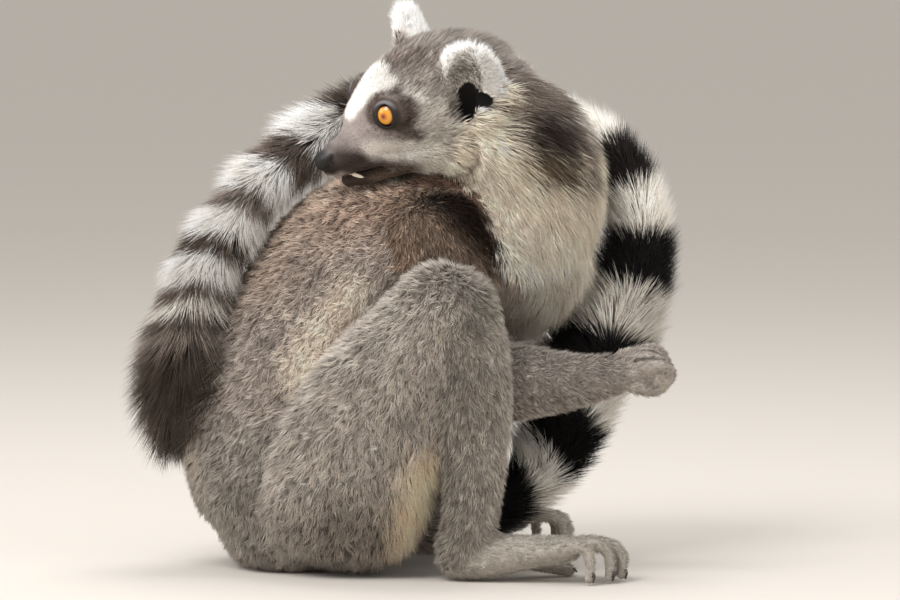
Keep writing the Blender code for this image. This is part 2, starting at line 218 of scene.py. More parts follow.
# %% The stations of the body: x, y, z, half width across, half depth
TRUNK = [
    (-60, 0, 34, 52, 45), (-63, 0, 50, 54, 54), (-58, 0, 80, 55, 56), (-41, 0, 118, 53, 56),
    (-18, 0, 150, 49, 54), (12, 0, 163, 46, 47), (42, 0, 160, 41, 45), (58, 0, 156, 35, 39),
]
NECK = [(50, -2, 166, 42, 42), (60, -6, 192, 38, 40), (53, -12, 213, 37, 39), (37, -17, 228, 33, 35)]
THIGH = [
    (-38, -38, 36, 34, 47), (-25, -49, 66, 34, 45), (-8, -60, 95, 30, 40), (8, -68, 120, 27, 33),
    (17, -71, 136, 26, 28),
]
SHIN = [
    (21, -72, 134, 24, 25), (27, -72, 110, 22, 24), (30, -70, 85, 19, 22), (31, -67, 55, 16, 18),
    (29, -63, 30, 15, 16), (24, -60, 17, 14, 15),
]
FOOT = [
    (25, -59, 12.2, 12.5, 12.4), (38, -61, 12.6, 12.8, 12), (58, -64, 14.8, 12.6, 9.4),
    (78, -67, 16.8, 13.5, 7.4),
]
LEFT_FOOT_BACK = 24
UPPER_ARM = [
    (10, -34, 172, 22, 30), (19, -40, 145, 20, 26), (21, -40, 115, 18, 21), (19, -38, 93, 17, 19),
]
FOREARM = [
    (18, -37, 90, 19, 20), (50, -43, 97, 18, 21), (72, -49, 98, 16, 17.5), (90, -54, 100, 13, 14),
    (103, -58, 103, 11, 12),
]
LEFT_UPPER_ARM = [
    (10, 34, 172, 22, 30), (19, 40, 145, 20, 26), (22, 41, 115, 18, 21), (22, 40, 92, 17, 19),
]
LEFT_FOREARM = [(22, 40, 90, 18, 19), (42, 44, 94, 17, 18), (58, 52, 98, 13, 14), (66, 60, 102, 11, 11)]
TAIL = [
    (-40, 0, 22, 20, 20), (0, 4, 19, 19, 19), (28, 7, 21, 19.5, 19.5), (52, 9, 35, 20, 20),
    (68, 10, 50, 20.5, 22), (79, 11, 68, 21, 24), (89, 12, 92, 22, 26), (102, 14, 118, 24, 28),
    (113, 16, 142, 23, 24), (117, 18, 165, 21, 21), (113, 20, 187, 20, 20), (102, 25, 206, 20, 20),
    (82, 35, 219, 20, 20), (56, 46, 224, 20, 20), (28, 50, 225, 20, 20), (0, 42, 228, 20, 20),
    (-26, 24, 229, 20.5, 20.5), (-50, 8, 217, 20.5, 20.5), (-74, -4, 198, 20, 20),
    (-88, -9, 180, 21, 21), (-104, -12, 154, 23, 23), (-112, -13, 125, 25, 25), (-117, -13, 97, 24, 24),
    (-121, -12, 76, 17, 17), (-124, -11, 63, 8, 8),
]

# %% The stations of the head: behind the nose tip, aside, up, half width, half height
SKULL = [
    (3, 0, -0.5, 5.5, 5.5), (8, 0, 0, 7.5, 8), (15, 0, 1.5, 9.5, 10.5), (22, 0, 4, 13, 14.5),
    (29, 0, 7.5, 19.5, 19.5), (38, 0, 9.5, 26, 24.5), (49, 0, 10.5, 29, 28.5),
    (60, 0, 10, 30.5, 31.5), (71, 0, 9, 29.5, 31), (82, 0, 6.5, 26, 28), (90, 0, 2, 20, 22),
]
SKULL_DEPTH = [0.5, 0.5, 0.5, 0.7, 1.2, 2.2, 3, 3.2, 3.5, 4, 5]  # of the coat at each station
BRIDGE_DROP = [0.3, 1.2, 2.5, 3.4, 3.5, 1.9, 0.3, 0, 0, 0, 0]  # how far the top lies below the solid's
JAW = [(12, 0, -13.3, 4, 3.6), (19, 0, -13.7, 7, 4.4), (30, 0, -12.9, 10.5, 5), (42, 0, -11.3, 14, 7.4)]
LIP = [
    (4.5, 0, -4.6, 3.2, 3.8), (9, 0, -5.4, 5.6, 4.2), (15, 0, -5.6, 7.8, 4.2), (22, 0, -5.4, 11, 4.6),
    (28, 0, -5, 13, 4.6),
]
CHEEK = [
    (28, 9, -3.5, 4, 6), (36, 12.5, -4.5, 5.5, 8), (45, 16.6, -5.5, 7, 10.2), (55, 19.6, -6, 7.8, 11.2),
    (65, 20, -5, 7, 10.5), (76, 19, -3, 5, 8.5),
]
EAR_ROOT = (66.6, 24, 8.2)
EAR_LENGTH, EAR_HALF_WIDTH, EAR_WALL = 38, 17, 4.5


def mirrored(stations):
    return [(x, -y, *rest) for x, y, *rest in stations]


def drawn_back(stations, by):
    """Swings a shin from its knee, so that its lower end lies further back."""
    knee, ankle = stations[0][2], stations[-1][2]
    return [(x - by * (knee - z) / (knee - ankle), y, z, *rest) for x, y, z, *rest in stations]


def moved_foot(side, back=0):
    return [(x - back, -side * y, *rest) for x, y, *rest in FOOT]


def ear_axes(side):
    """The ear's root, and its directions across, up its length and out of its opening."""
    root = on_head(EAR_ROOT[0], EAR_ROOT[1] * side, EAR_ROOT[2])
    rise = (UP * 0.93 + LEFT * side * 0.42 - FORWARD * 0.1).normalized()
    out = (LEFT * side * 0.72 + FORWARD * 0.62).normalized()
    out = (out - rise * out.dot(rise)).normalized()
    return root, rise.cross(out), rise, out


# %% [markdown]
# ## What each part's coat is like
# One table holds the coat: its depth, which the skin leaves free, and for its tufts their length,
# width at the root, how steeply they lift, how many grow on a square millimetre, how strongly
# neighbours gather into points, and how far they stray from the lie of the coat. Woolly body fur
# is short and dense, the ruff and the tail are long.

# %% The coat's table
LENGTH, WIDTH, LIFT, DENSITY, STRAY = 1, 2, 3, 4, 6  # columns of the table that vary over a part
COAT = {  # in mm, degrees for the lift, tufts per square mm, and radians for the stray
    "trunk": (4.6, 6.7, 0.58, 36, 1.42, 0.6, 0.55),
    "thigh": (4.6, 7.2, 0.58, 36, 1.6, 0.6, 0.55),
    "shin": (3.0, 5.2, 0.56, 32, 1.4, 0.5, 0.38),
    "upper_arm": (4.0, 7.5, 0.7, 32, 0.9, 0.5, 0.35),
    "forearm": (2.6, 4.6, 0.52, 31, 1.6, 0.5, 0.36),
    "foot": (1.2, 2.8, 0.46, 24, 1.3, 0.4, 0.3),
    "hand": (1.5, 3.2, 0.46, 26, 1.9, 0.4, 0.3),
    "neck": (8.0, 19.0, 0.54, 22, 1.55, 0.45, 0.2),
    "tail": (10.5, 16.0, 0.5, 34, 1.75, 0.4, 0.2),
    "head": (3.0, 6.0, 0.46, 24, 2.8, 0.4, 0.24),
    "jaw": (1.0, 3.0, 0.46, 15, 2.4, 0.3, 0.2),
    "ear": (1.6, 4.6, 0.5, 22, 3.6, 0.3, 0.25),
}
KIND = {name: number for number, name in enumerate(COAT)}

# %% The forms of the body, each with its kind of coat and which way its hair lies along its path
FORMS = [  # name, kind, stations, 1 where hair points along the path and -1 where it points back
    ("trunk", "trunk", TRUNK, -1),
    ("neck", "neck", NECK, -1),
    ("thigh_right", "thigh", THIGH, -1),
    ("thigh_left", "thigh", mirrored(THIGH), -1),
    ("shin_right", "shin", SHIN, 1),
    ("shin_left", "shin", drawn_back(mirrored(SHIN), LEFT_FOOT_BACK), 1),
    ("foot_right", "foot", moved_foot(-1), 1),
    ("foot_left", "foot", moved_foot(1, LEFT_FOOT_BACK), 1),
    ("upper_arm_right", "upper_arm", UPPER_ARM, 1),
    ("upper_arm_left", "upper_arm", LEFT_UPPER_ARM, 1),
    ("forearm_right", "forearm", FOREARM, 1),
    ("forearm_left", "forearm", LEFT_FOREARM, 1),
    ("tail", "tail", TAIL, 1),
]


def slimmer(stations, depth):
    """The stations of the skin under a coat of that depth."""
    return [(*place, wide - depth, deep - depth) for *place, wide, deep in stations]


# %% [markdown]
# ## Lofts
# A body is easiest to build as a few lofts that run into each other. A loft here is a row of circles,
# each stretched and turned to its station and joined to the one before it by bridge_loops, with a few
# smaller circles that round off both ends.


# %% Smooth paths
def between(before, start, end, after, share):
    """A Catmull-Rom curve through start and end, in every number of a station."""
    return tuple(
        0.5 * (2 * b + (c - a) * share + (2 * a - 5 * b + 4 * c - d) * share**2
               + (3 * b - a - 3 * c + d) * share**3)
        for a, b, c, d in zip(before, start, end, after)
    )


def smooth_stations(stations, steps):
    first = tuple(2 * a - b for a, b in zip(stations[0], stations[1]))
    last = tuple(2 * a - b for a, b in zip(stations[-1], stations[-2]))
    knots = [first, *stations, last]
    found = []
    for i in range(1, len(knots) - 2):
        for step in range(steps):
            found.append(between(*knots[i - 1:i + 3], step / steps))
    return [*found, stations[-1]]


def tangents_along(points):
    spans = zip([points[0], *points], [*points[1:], points[-1]])
    return [(after - before).normalized() for before, after in spans]


# %% The loft itself
def domed(rings, dome_angles, blunt):
    """The rings with smaller ones added beyond both ends, as on a rounded tip."""
    for end, sign in ((0, -1), (-1, 1)):
        point, tangent, wide, deep = rings[end]
        reach = blunt * min(wide, deep) * sign
        dome = [
            (point + tangent * reach * math.sin(a), tangent, wide * math.cos(a), deep * math.cos(a))
            for a in map(math.radians, dome_angles)
        ]
        rings = dome + rings if sign < 0 else rings + dome[::-1]
    return rings


def turned(*axes):
    return Matrix(axes).transposed().to_4x4()


def edges_at(verts):
    return list({edge for vert in verts for edge in vert.link_edges})


def loft(bm, stations, side=(0, 1, 0), steps=4, sides=24, blunt=1.0, dome_angles=(80, 55, 28)):
    """A closed form with elliptical rings square to its path and a dome at each end."""
    fine = smooth_stations(stations, steps)
    points = [Vector(s[:3]) for s in fine]
    rings = [(p, t, s[3], s[4]) for p, t, s in zip(points, tangents_along(points), fine)]
    across, previous, made = Vector(side), None, []
    for point, tangent, wide, deep in domed(rings, dome_angles, blunt):
        across = (across - tangent * across.dot(tangent)).normalized()
        other = tangent.cross(across)
        matrix = Matrix.Translation(point) @ turned(across * wide, other * deep, tangent)
        ring = bmesh.ops.create_circle(
            bm, cap_ends=previous is None, radius=1, segments=sides, matrix=matrix)
        made += ring["verts"]
        edges = edges_at(ring["verts"])
        if previous:
            bmesh.ops.bridge_loops(bm, edges=previous + edges)
        previous = edges
    bmesh.ops.contextual_create(bm, geom=previous)
    faces = {f for v in made for f in v.link_faces}
    bmesh.ops.recalc_face_normals(bm, faces=list(faces))


# %% Balls, objects and modifiers
def ball(bm, centre, radii, axes=(-FORWARD, LEFT, UP), fine=3):
    """An ellipsoid, turned to the head's axes or to those given."""
    matrix = Matrix.Translation(centre) @ turned(*axes) @ Matrix.Diagonal((*radii, 1))
    bmesh.ops.create_icosphere(bm, subdivisions=fine, radius=1, matrix=matrix)


def head_stations(stations, side=1):
    """A loft's stations on the head, from rows of behind, aside, up, half width and half height."""
    return [(*on_head(a, b * side, c), w * HEAD_SCALE, h * HEAD_SCALE) for a, b, c, w, h in stations]


def head_loft(bm, stations, mirror=1, **how):
    loft(bm, head_stations(stations, mirror), side=LEFT, **how)


def head_ball(bm, centre, radii):
    ball(bm, on_head(*centre), [r * HEAD_SCALE for r in radii])


def new_object(name, bm):
    """An object at the origin whose mesh lies in its place in the frame, in metres."""
    bm.transform(TO_FRAME)
    mesh = bpy.data.meshes.new(name)
    bm.to_mesh(mesh)
    bm.free()
    return put_in_scene(name, mesh)


def apply_modifiers(thing):
    graph = bpy.context.evaluated_depsgraph_get()
    mesh = bpy.data.meshes.new_from_object(thing.evaluated_get(graph))
    thing.modifiers.clear()
    thing.data = mesh


def fuse(thing, voxel, smoothing):
    """Joins overlapping forms into one closed skin of that fineness, and rounds its creases."""
    remesh = thing.modifiers.new("fuse", "REMESH")
    remesh.mode = "VOXEL"
    remesh.voxel_size = voxel * MM
    smooth = thing.modifiers.new("round", "SMOOTH")
    smooth.factor = 0.5
    smooth.iterations = smoothing
    apply_modifiers(thing)


def combine(thing, other, operation):
    """A Boolean between two closed meshes, which uses the other one up."""
    modifier = thing.modifiers.new("combine", "BOOLEAN")
    modifier.object = other
    modifier.operation = operation
    modifier.solver = "MANIFOLD"
    apply_modifiers(thing)
    bpy.data.objects.remove(other)


def carve(thing, shape, *plan, **how):
    """Cuts out of a closed mesh what loft, ball or the like makes of that plan."""
    bm = bmesh.new()
    shape(bm, *plan, **how)
    combine(thing, new_object("cutter", bm), "DIFFERENCE")


def triangles_of(thing):
    return sum(len(p.vertices) - 2 for p in thing.data.polygons)


# %% [markdown]
# ## The body's skin
# The trunk, neck, legs, arms and tail overlap where they join, so a voxel remesh makes one skin of
# them, as if a single hide were drawn over the whole. Its cells are as wide as the detail needs.

# %% Trunk, limbs and tail
BODY_CELL, HAND_CELL, HEAD_CELL = 2.7, 1.3, 0.78  # how fine each skin is, in mm
JAW_ROOM = [  # the fur lies flat where the chin rests
    (2, 0, -13.5, 13, 7.5), (15, 0, -14, 17, 7.6), (30, 0, -14.5, 26, 7.4), (45, 0, -14, 31, 9.4),
]
bm = bmesh.new()
for name, kind, stations, way in FORMS:
    loft(bm, slimmer(stations, COAT[kind][0]))
skin = new_object("skin", bm)
fuse(skin, BODY_CELL, 3)
carve(skin, head_loft, JAW_ROOM, sides=32, blunt=0.6)
fuse(skin, BODY_CELL, 2)
print("body skin triangles:", triangles_of(skin))

# %% [markdown]
# ## Hands and feet
# A closed fist is a palm with four fingers folded over it and the thumb across them. A foot is a long
# sole with four toes that bend down to the floor and a great toe that stands apart. They are fused at
# a finer size than the body, so that the fingers stay apart.


# %% Fingers and toes
def digits(bm, place, plans, thick):
    """Fingers or toes: thin tapering forms through a few points of the palm's or sole's own frame."""
    for plan in plans:
        radii = [thick * (1 - TAPER * i) for i in range(len(plan))]
        stations = [(*place(*point), radius, radius) for point, radius in zip(plan, radii)]
        loft(bm, stations, side=(0.3, 1, 0.2), steps=3, sides=10)


TAPER = 0.12
FINGER = [(13, 2.5, 1), (21, 1.5, 1.05), (24.5, -5.5, 1), (19, -11.5, 0.9), (12, -10.5, 0.8)]
FINGER_ROWS = [-9, -3, 3, 9]
FINGER_CLEFTS = (-6, 0, 6)
THUMB = [(4, -4, 9), (11, -9, 10), (17, -13.5, 5), (20, -14, -1)]
PALM = [(-3, 0, 9, 8), (6, 0.5, 10.3, 8.6), (14, 0, 11.2, 7.8)]  # out, up, half width, half depth
GRIP = [(17, -5.5, over) for over in (-8, 0, 8)]  # closes the hollow of the fist
TOES = [  # along the foot, over it and up, for each toe
    [
        (-7, over * 0.8, 16.5), (reach * 0.45, over, 19.2), (reach * 0.93, over * 1.06, 17),
        (reach + 1, over * 1.1, 9), (reach, over * 1.12, 3),
    ]
    for over, reach in ((11, 9.5), (4.2, 19.5), (-2.8, 26), (-9.8, 23))
]
GREAT_TOE = [(-30, -8, 11), (-18, -17, 8.5), (-7, -23, 5), (1, -24, 3)]


def fist_place(wrist, along, back):
    """A function from a palm's own frame (out, up, over) to the maker's axes, and the way over."""
    along, back = Vector(along).normalized(), Vector(back)
    back = (back - along * back.dot(along)).normalized()
    across = along.cross(back)
    return lambda out, up, over: Vector(wrist) + along * out + back * up + across * over, across


def foot_place(side, back):
    """A function from the front of a sole (along, over, up) to the maker's axes."""
    x, y = moved_foot(side, back)[-1][:2]
    return lambda out, over, up: Vector((x + out, y + side * over, up))


# %% Two fists and two feet
HANDS = [  # the wrist, which way the palm goes from it, and which way the hand's back faces
    (FOREARM[-1][:3], (0.93, 0.05, 0.34), (0.25, -0.35, 0.9)),
    (LEFT_FOREARM[-1][:3], (-0.2, 0.95, 0.1), (0.95, 0.2, 0.2)),
]
FEET = [(-1, 0), (1, LEFT_FOOT_BACK)]
bm = bmesh.new()
for wrist, along, back in HANDS:
    place, across = fist_place(wrist, along, back)
    loft(bm, [(*place(o, u, 0), wide, deep) for o, u, wide, deep in PALM], side=across)
    digits(bm, place, [[(o, u, row * s) for o, u, s in FINGER] for row in FINGER_ROWS], 2.8)
    digits(bm, place, [THUMB], 3.7)
    loft(bm, [(*place(*point), 4.6, 4.6) for point in GRIP], side=along)
for side, back in FEET:
    loft(bm, slimmer(moved_foot(side, back), COAT["foot"][0]))
    place = foot_place(side, back)
    digits(bm, place, TOES, 3.9)
    digits(bm, place, [GREAT_TOE], 4.9)
extremities = new_object("extremities", bm)
fuse(extremities, HAND_CELL, 2)
print("hand and foot triangles:", triangles_of(extremities))
combine(skin, extremities, "UNION")

# %% [markdown]
# ## The head
# The skull, jaw and cheeks are lofts and balls. Each ear is a thin blade with a cup scooped out of it.
# Round each eye a ball a little larger than the eyeball gives the lids their thickness, and a cone
# along the gaze opens them. The mouth is a thin curved slit and the nostrils are small scoops, both
# cut after the remesh, so that their edges stay crisp.

# %% Directions of the eyes and the sizes of the lids
BALL_RADIUS = EYE_RADIUS * HEAD_SCALE
EYE_SEAT = (34, 15.3, 17)  # a little deeper than the solid, for the bulge of the cornea
GAZE_TURN = math.radians(40)  # each eye looks this far out from straight ahead
LID = 1.25  # thickness of the lids
OPENING = (3.7, 5.35)  # half width and half height between the lids
FOLD_RADIUS, FOLD_RIM = 8.0, 2.0  # the ring of skin round the lids, and its thickness
UPRIGHT = ((1, 0, 0), (0, 1, 0), (0, 0, 1))  # the maker's own axes


def gaze_axes(side):
    """An eye's centre, its gaze, and the directions across and up its opening."""
    centre = on_head(EYE_SEAT[0], EYE_SEAT[1] * side, EYE_SEAT[2])
    ahead, aside = FORWARD * math.cos(GAZE_TURN), LEFT * side * math.sin(GAZE_TURN)
    gaze = (ahead + aside + UP * 0.16).normalized()
    up = (UP - gaze * UP.dot(gaze)).normalized()
    return centre, gaze, up.cross(gaze), up


# %% Skull, jaw, cheeks and lids
def ring_round_eye(bm, centre, gaze, across, rise):
    """A rounded ring of skin square to the gaze, a little in front of the eye's centre."""
    middle = Matrix.Translation(centre + gaze * BALL_RADIUS * 0.3) @ turned(across, rise, gaze)
    upright = Matrix.Translation((FOLD_RADIUS, 0, 0)) @ Matrix.Rotation(math.radians(90), 4, "X")
    ring = bmesh.ops.create_circle(bm, radius=FOLD_RIM, segments=12, matrix=middle @ upright)
    bmesh.ops.spin(
        bm, geom=edges_at(ring["verts"]) + ring["verts"], cent=middle.translation, axis=gaze,
        angle=math.tau, steps=32, use_merge=True)


bm = bmesh.new()
skull = [
    (a, 0, c - drop / 2, w - deep, h - deep - drop / 2)
    for (a, b, c, w, h), deep, drop in zip(SKULL, SKULL_DEPTH, BRIDGE_DROP)
]
head_loft(bm, skull, steps=5, sides=36)
head_loft(bm, slimmer(JAW, 0.5), steps=5)
head_loft(bm, LIP)
head_ball(bm, (5.9, 0, 0.6), (4.6, 5.2, 4.6))  # the nose pad
for side in (1, -1):
    head_loft(bm, CHEEK, mirror=side)
    ball(bm, gaze_axes(side)[0], [BALL_RADIUS + LID] * 3, UPRIGHT, fine=4)
    ring_round_eye(bm, *gaze_axes(side))
print("forms of the head, in faces:", len(bm.faces))

# %% Ears
EAR_SKIN = 1.6
EAR_BLADE = ((-0.12, 0.72), (0.25, 0.98), (0.55, 1.0), (0.8, 0.74), (0.92, 0.36))  # how high, how wide
EAR_CUP = ((-2.4, 17.0, 7.0), (8.6, 19.6, 8.4))  # centre across, up and out of the ear, and radii
EAR_CANAL = ((-0.6, 7.6, 3.0), (5.4, 11.4, 6.0))
EAR_NOTCH = ((6.2, 12.4, 3.6), (5.4, 4.0, 5.2))
EAR_HOLLOWS = (EAR_CUP, EAR_CANAL, EAR_NOTCH)


def ear_blade(bm, side):
    root, across, rise = ear_axes(side)[:3]
    stations = []
    for share, wide in EAR_BLADE:
        point = root + rise * EAR_LENGTH * share * HEAD_SCALE
        half = (EAR_HALF_WIDTH * wide - EAR_SKIN) * HEAD_SCALE
        stations.append((*point, half, EAR_WALL * (1.45 - share) * HEAD_SCALE - EAR_SKIN / 2))
    loft(bm, stations, side=across, blunt=0.3)


for side in (1, -1):
    ear_blade(bm, side)
head = new_object("head_skin", bm)
fuse(head, HEAD_CELL, 2)
print("head skin triangles:", triangles_of(head))

# %% Eye openings, mouth and nostrils
MOUTH = [
    (5, 0, -10.0, 9, 0.5), (14, 0, -10.15, 14, 0.45), (24, 0, -10.2, 17, 0.4), (33, 0, -9.2, 20, 0.3),
]
NOSTRILS = [((2.7, 3.8, -1.4), (2.0, 1.3, 1.4)), ((4.7, 5.3, 0.6), (1.1, 1.6, 3.2))]
OPENING_CONE = ((0.3, 0.93), (1.6, 1.3))  # how far out along the gaze, and how wide there
for side in (1, -1):
    root, across, rise, out = ear_axes(side)
    for (over, up, ahead), radii in EAR_HOLLOWS:
        middle = Vector((over * side, up, ahead))
        middle = root + Matrix((across, rise, out)).transposed() @ middle * HEAD_SCALE
        for thing in (head, skin):
            carve(thing, ball, middle, np.array(radii) * HEAD_SCALE, (across, rise, out), fine=5)
    centre, gaze, across, rise = gaze_axes(side)
    carve(head, ball, centre, [BALL_RADIUS + 0.05] * 3, UPRIGHT, fine=5)
    cone = []
    for reach, wide in OPENING_CONE:
        place = centre + gaze * BALL_RADIUS * reach + across * side * 0.5
        cone.append((*place, OPENING[0] * wide, OPENING[1] * wide))
    carve(head, loft, cone, side=across, steps=2, sides=48, blunt=0.05, dome_angles=(60,))
carve(head, head_loft, MOUTH, steps=6, sides=32, blunt=0.2)
for (behind, aside, above), radii in NOSTRILS:
    for side in (1, -1):
        carve(head, head_ball, (behind, aside * side, above), radii)
print("head with its openings:", triangles_of(head))
combine(skin, head, "UNION")

# %% Set the skin on the floor
FLOOR_GAP = 0.3 * MM
SKIN_TRIANGLES = 180_000
thin = skin.modifiers.new("thin", "DECIMATE")
thin.ratio = min(1, SKIN_TRIANGLES / triangles_of(skin))
apply_modifiers(skin)
bm = bmesh.new()
bm.from_mesh(skin.data)
bmesh.ops.triangulate(bm, faces=bm.faces)
for vert in bm.verts:
    vert.co.z = max(vert.co.z, FLOOR_GAP)
bm.to_mesh(skin.data)
bm.free()
skin.data.shade_smooth()
print("one skin, triangles:", triangles_of(skin))

# %% [markdown]
# ## Which part is each point of the skin on
# The coat changes from part to part, so every point of the skin needs to know its part, how far along
# the part it lies and how far round. Each form's path is sampled every few millimetres, and a point
# belongs to the sample it is nearest to, measured in that sample's own thickness.


# %% The skin as arrays, in the maker's millimetres
def array_of(items, field, width, kind=np.float32):
    values = np.empty(len(items) * width, kind)
    items.foreach_get(field, values)
    return values.reshape(-1, width)


mesh = skin.data
shift = np.array(SHIFT)
points = array_of(mesh.vertices, "co", 3).astype(float) / MM - shift
normals = array_of(mesh.vertices, "normal", 3).astype(float)
triangles = array_of(mesh.polygons, "vertices", 3, np.int32)
print("skin points:", len(points))

# %% Samples of every path
EAR_PATH = ((0.25, 0.95), (0.5, 1.1), (0.75, 1.1), (0.95, 0.9))  # how high, how wide
HAND_PATH = (2, 12, 24)  # how far from the wrist
head_forms = [("head", "head", head_stations(SKULL), 1), ("jaw", "jaw", head_stations(JAW), 1)]
for side, name in ((1, "ear_left"), (-1, "ear_right")):
    root, across, rise, out = ear_axes(side)
    path = [(*(root + rise * EAR_LENGTH * HEAD_SCALE * up), 15 * wide, 9) for up, wide in EAR_PATH]
    head_forms.append((name, "ear", path, 1))
for name, hand in zip(("hand_right", "hand_left"), HANDS):
    place, across = fist_place(*hand)
    head_forms.append((name, "hand", [(*place(out, -3, 0), 13, 13) for out in HAND_PATH], 1))
ALL_FORMS = FORMS + head_forms
rows = []
for number, (name, kind, stations, way) in enumerate(ALL_FORMS):
    fine = smooth_stations(stations, 8)
    path = [Vector(station[:3]) for station in fine]
    lengths = np.cumsum([0] + [(b - a).length for a, b in zip(path, path[1:])])
    across = LEFT if kind in ("head", "jaw", "ear") else Vector((0, 1, 0))
    for place, tangent, station, length in zip(path, tangents_along(path), fine, lengths):
        across = (across - tangent * across.dot(tangent)).normalized()
        radius = (station[3] + station[4]) / 2
        rows.append((*place, *tangent, *across, radius, length, number, way))
rows = np.array(rows, float)
path_centre, path_tangent, path_across = (rows[:, i:i + 3].copy() for i in (0, 3, 6))
path_radius, path_along, path_form, path_way = rows[:, 9:].T.copy()
print("path samples:", len(rows))


# %% The nearest sample of each point
BLOCK = 8000  # points worked out at a time, to spare memory
OVER_BACK, TAIL_END = 430, 640  # where the tail comes down over the back, and past its tip, in mm
FACE_LENGTH = 46  # mm along the skull
FACE_REACH = 1.17  # how far out the face's skin may lie, in its form's radii


def fade(values, start, end):
    """0 up to start, 1 from end on, and even between them."""
    return np.clip((values - start) / (end - start), 0, 1)


def nearest_sample(places, among):
    """The sample of those listed that is nearest to each place, for its thickness."""
    found = np.empty(len(places), int)
    for start in range(0, len(places), BLOCK):
        block = slice(start, start + BLOCK)
        offset = places[block, None, :] - path_centre[None, among]
        distance = np.einsum("ijk,ijk->ij", offset, offset)
        found[block] = (distance / path_radius[among] ** 2).argmin(1)
    return among[found]


near = nearest_sample(points, np.arange(len(rows)))
names = np.array([ALL_FORMS[int(i)][0] for i in path_form])
by_the_toes = (points[:, 2] < 22) & (np.abs(points[:, 1]) > 28)
toes = np.flatnonzero((names[near] == "tail") & by_the_toes)
near[toes] = nearest_sample(points[toes], np.flatnonzero(np.isin(names, ("foot_left", "foot_right"))))
on_muzzle = (names == "head") & (path_along < FACE_LENGTH)
face_samples = np.flatnonzero((names == "jaw") | on_muzzle)
for i in face_samples:  # the jaw rests on the back, and its points are its own
    close = np.linalg.norm(points - path_centre[i], axis=1) < path_radius[i] * FACE_REACH
    near[close & ~np.isin(near, face_samples)] = i
form_of = path_form[near].astype(int)
kind_of = np.array([KIND[kind] for name, kind, *rest in ALL_FORMS])[form_of]
tangent_of = path_tangent[near]


def offset_in(lead, places):
    """How far along its form each place lies, in mm, and how far round, in radians."""
    sample = near[lead]
    offset = places - path_centre[sample]
    tangent, across = path_tangent[sample], path_across[sample]
    along = path_along[sample] + (offset * tangent).sum(1)
    on_back = np.clip((offset * (-0.8, 0, 0.6)).sum(1), 0, 20) * fade(along, OVER_BACK, OVER_BACK + 15)
    in_front = (offset * (0.83, 0, -0.55)).sum(1) * np.interp(along, [60, 85, 145, 170], [0, 1, 1, 0])
    slant = 0.7 * on_back - 0.75 * in_front  # the rings lean where the tail bends
    along -= slant * (names[sample] == "tail")
    upward = (offset * np.cross(tangent, across)).sum(1)
    return np.stack([along, np.arctan2(upward, (offset * across).sum(1))], 1)


along_of = offset_in(np.arange(len(points)), points)[:, 0]
print("points on the head:", (form_of == len(FORMS)).sum())

# %% [markdown]
# ## The lie of the coat
# Hair points away from where it starts: back from the nose, down the back, along the arms and the
# tail. Each point of the skin gets that direction from its part's path, turned a little by gravity,
# and laid flat on the skin. Averaging it with the neighbouring points lets the coat flow smoothly
# from one part to the next.


# %% Averages over the mesh
OWN_SHARE = 0.35  # of a point's own value in each round
COAT_ROUNDS, FACE_ROUNDS = 14, 4


def unit(vectors):
    return vectors / np.maximum(np.linalg.norm(vectors, axis=-1, keepdims=True), 1e-9)


edges = array_of(mesh.edges, "vertices", 2, np.int32)
neighbours = np.bincount(edges.ravel(), minlength=len(points)).astype(float)


def averaged(values, times):
    """Each point's values drawn towards those of its neighbours, a few times over."""
    values = np.array(values, float).reshape(len(points), -1)
    one, other = edges.T
    for _ in range(times):
        total = np.zeros_like(values)
        for column, of_all in enumerate(values.T):
            total[:, column] = np.bincount(one, of_all[other], len(points))
            total[:, column] += np.bincount(other, of_all[one], len(points))
        values = OWN_SHARE * values + (1 - OWN_SHARE) * total / neighbours[:, None]
    return values


# %% Places in the head's axes and the ears' own axes
nose = np.array(NOSE_TIP)
HEAD_TURN = np.array([-FORWARD, LEFT, UP])


def in_head(places):
    """Behind the nose, to the left and up, for places in the maker's axes."""
    return (places - nose) @ HEAD_TURN.T / HEAD_SCALE


def in_ear(places, side):
    """Across, up and out of an ear."""
    root, across, rise, out = ear_axes(side)
    return (places - np.array(root)) @ np.array([across, rise, out]).T / HEAD_SCALE


def in_hollow(places, side, hollow, grow):
    """Whether each place lies in that hollow of an ear, or within grow of its wall."""
    (across, up, out), radii = hollow
    offset = (in_ear(places, side) - (across * side, up, out)) / (np.array(radii) + grow)
    return (offset**2).sum(1) < 1


def soft_capsule(places, start, end, radius, softness):
    """1 near the line from start to end and 0 far from it, softly, as a column."""
    start, end = np.array(start, float), np.array(end, float)
    reach = end - start
    share = np.clip((places - start) @ reach / (reach @ reach), 0, 1)
    distance = np.linalg.norm(places - start - share[:, None] * reach, axis=1)
    return np.clip(0.5 - (distance - radius) / softness, 0, 1)[:, None]


# %% Direction of the hair
DROOP = {  # how gravity and habit turn some kinds of hair: a push along x, y, z
    "trunk": (-0.1, 0, -0.35), "thigh": (0.1, 0, -0.7), "shin": (0, 0, -0.2), "tail": (0, 0, -0.05),
    "upper_arm": (0, 0, -0.4), "forearm": (0, 0, -0.45), "neck": (0.75, -0.1, -0.45),
}
PEACH = ((2, -62, 12), (9, -68, 58))  # the long pale hair under the thigh
TAIL_MEETS_BODY = [  # from, to, and which way the tail's hair reaches there
    ((97, 2, 184), (95, 4, 146), (-1.3, 0, -0.3)),
    ((58, -2, 58), (64, 0, 84), (-1.8, -0.4, 0.3)),
    ((82, 2, 108), (84, 2, 130), (-1.6, 0, 0.2)),
]
droop = np.array([DROOP.get(kind, (0, 0, 0)) for kind in KIND])
flow = tangent_of * path_way[near][:, None] + droop[kind_of]
face = in_head(points)
behind, aside, above = face[:, 0], np.abs(face[:, 1]), face[:, 2]
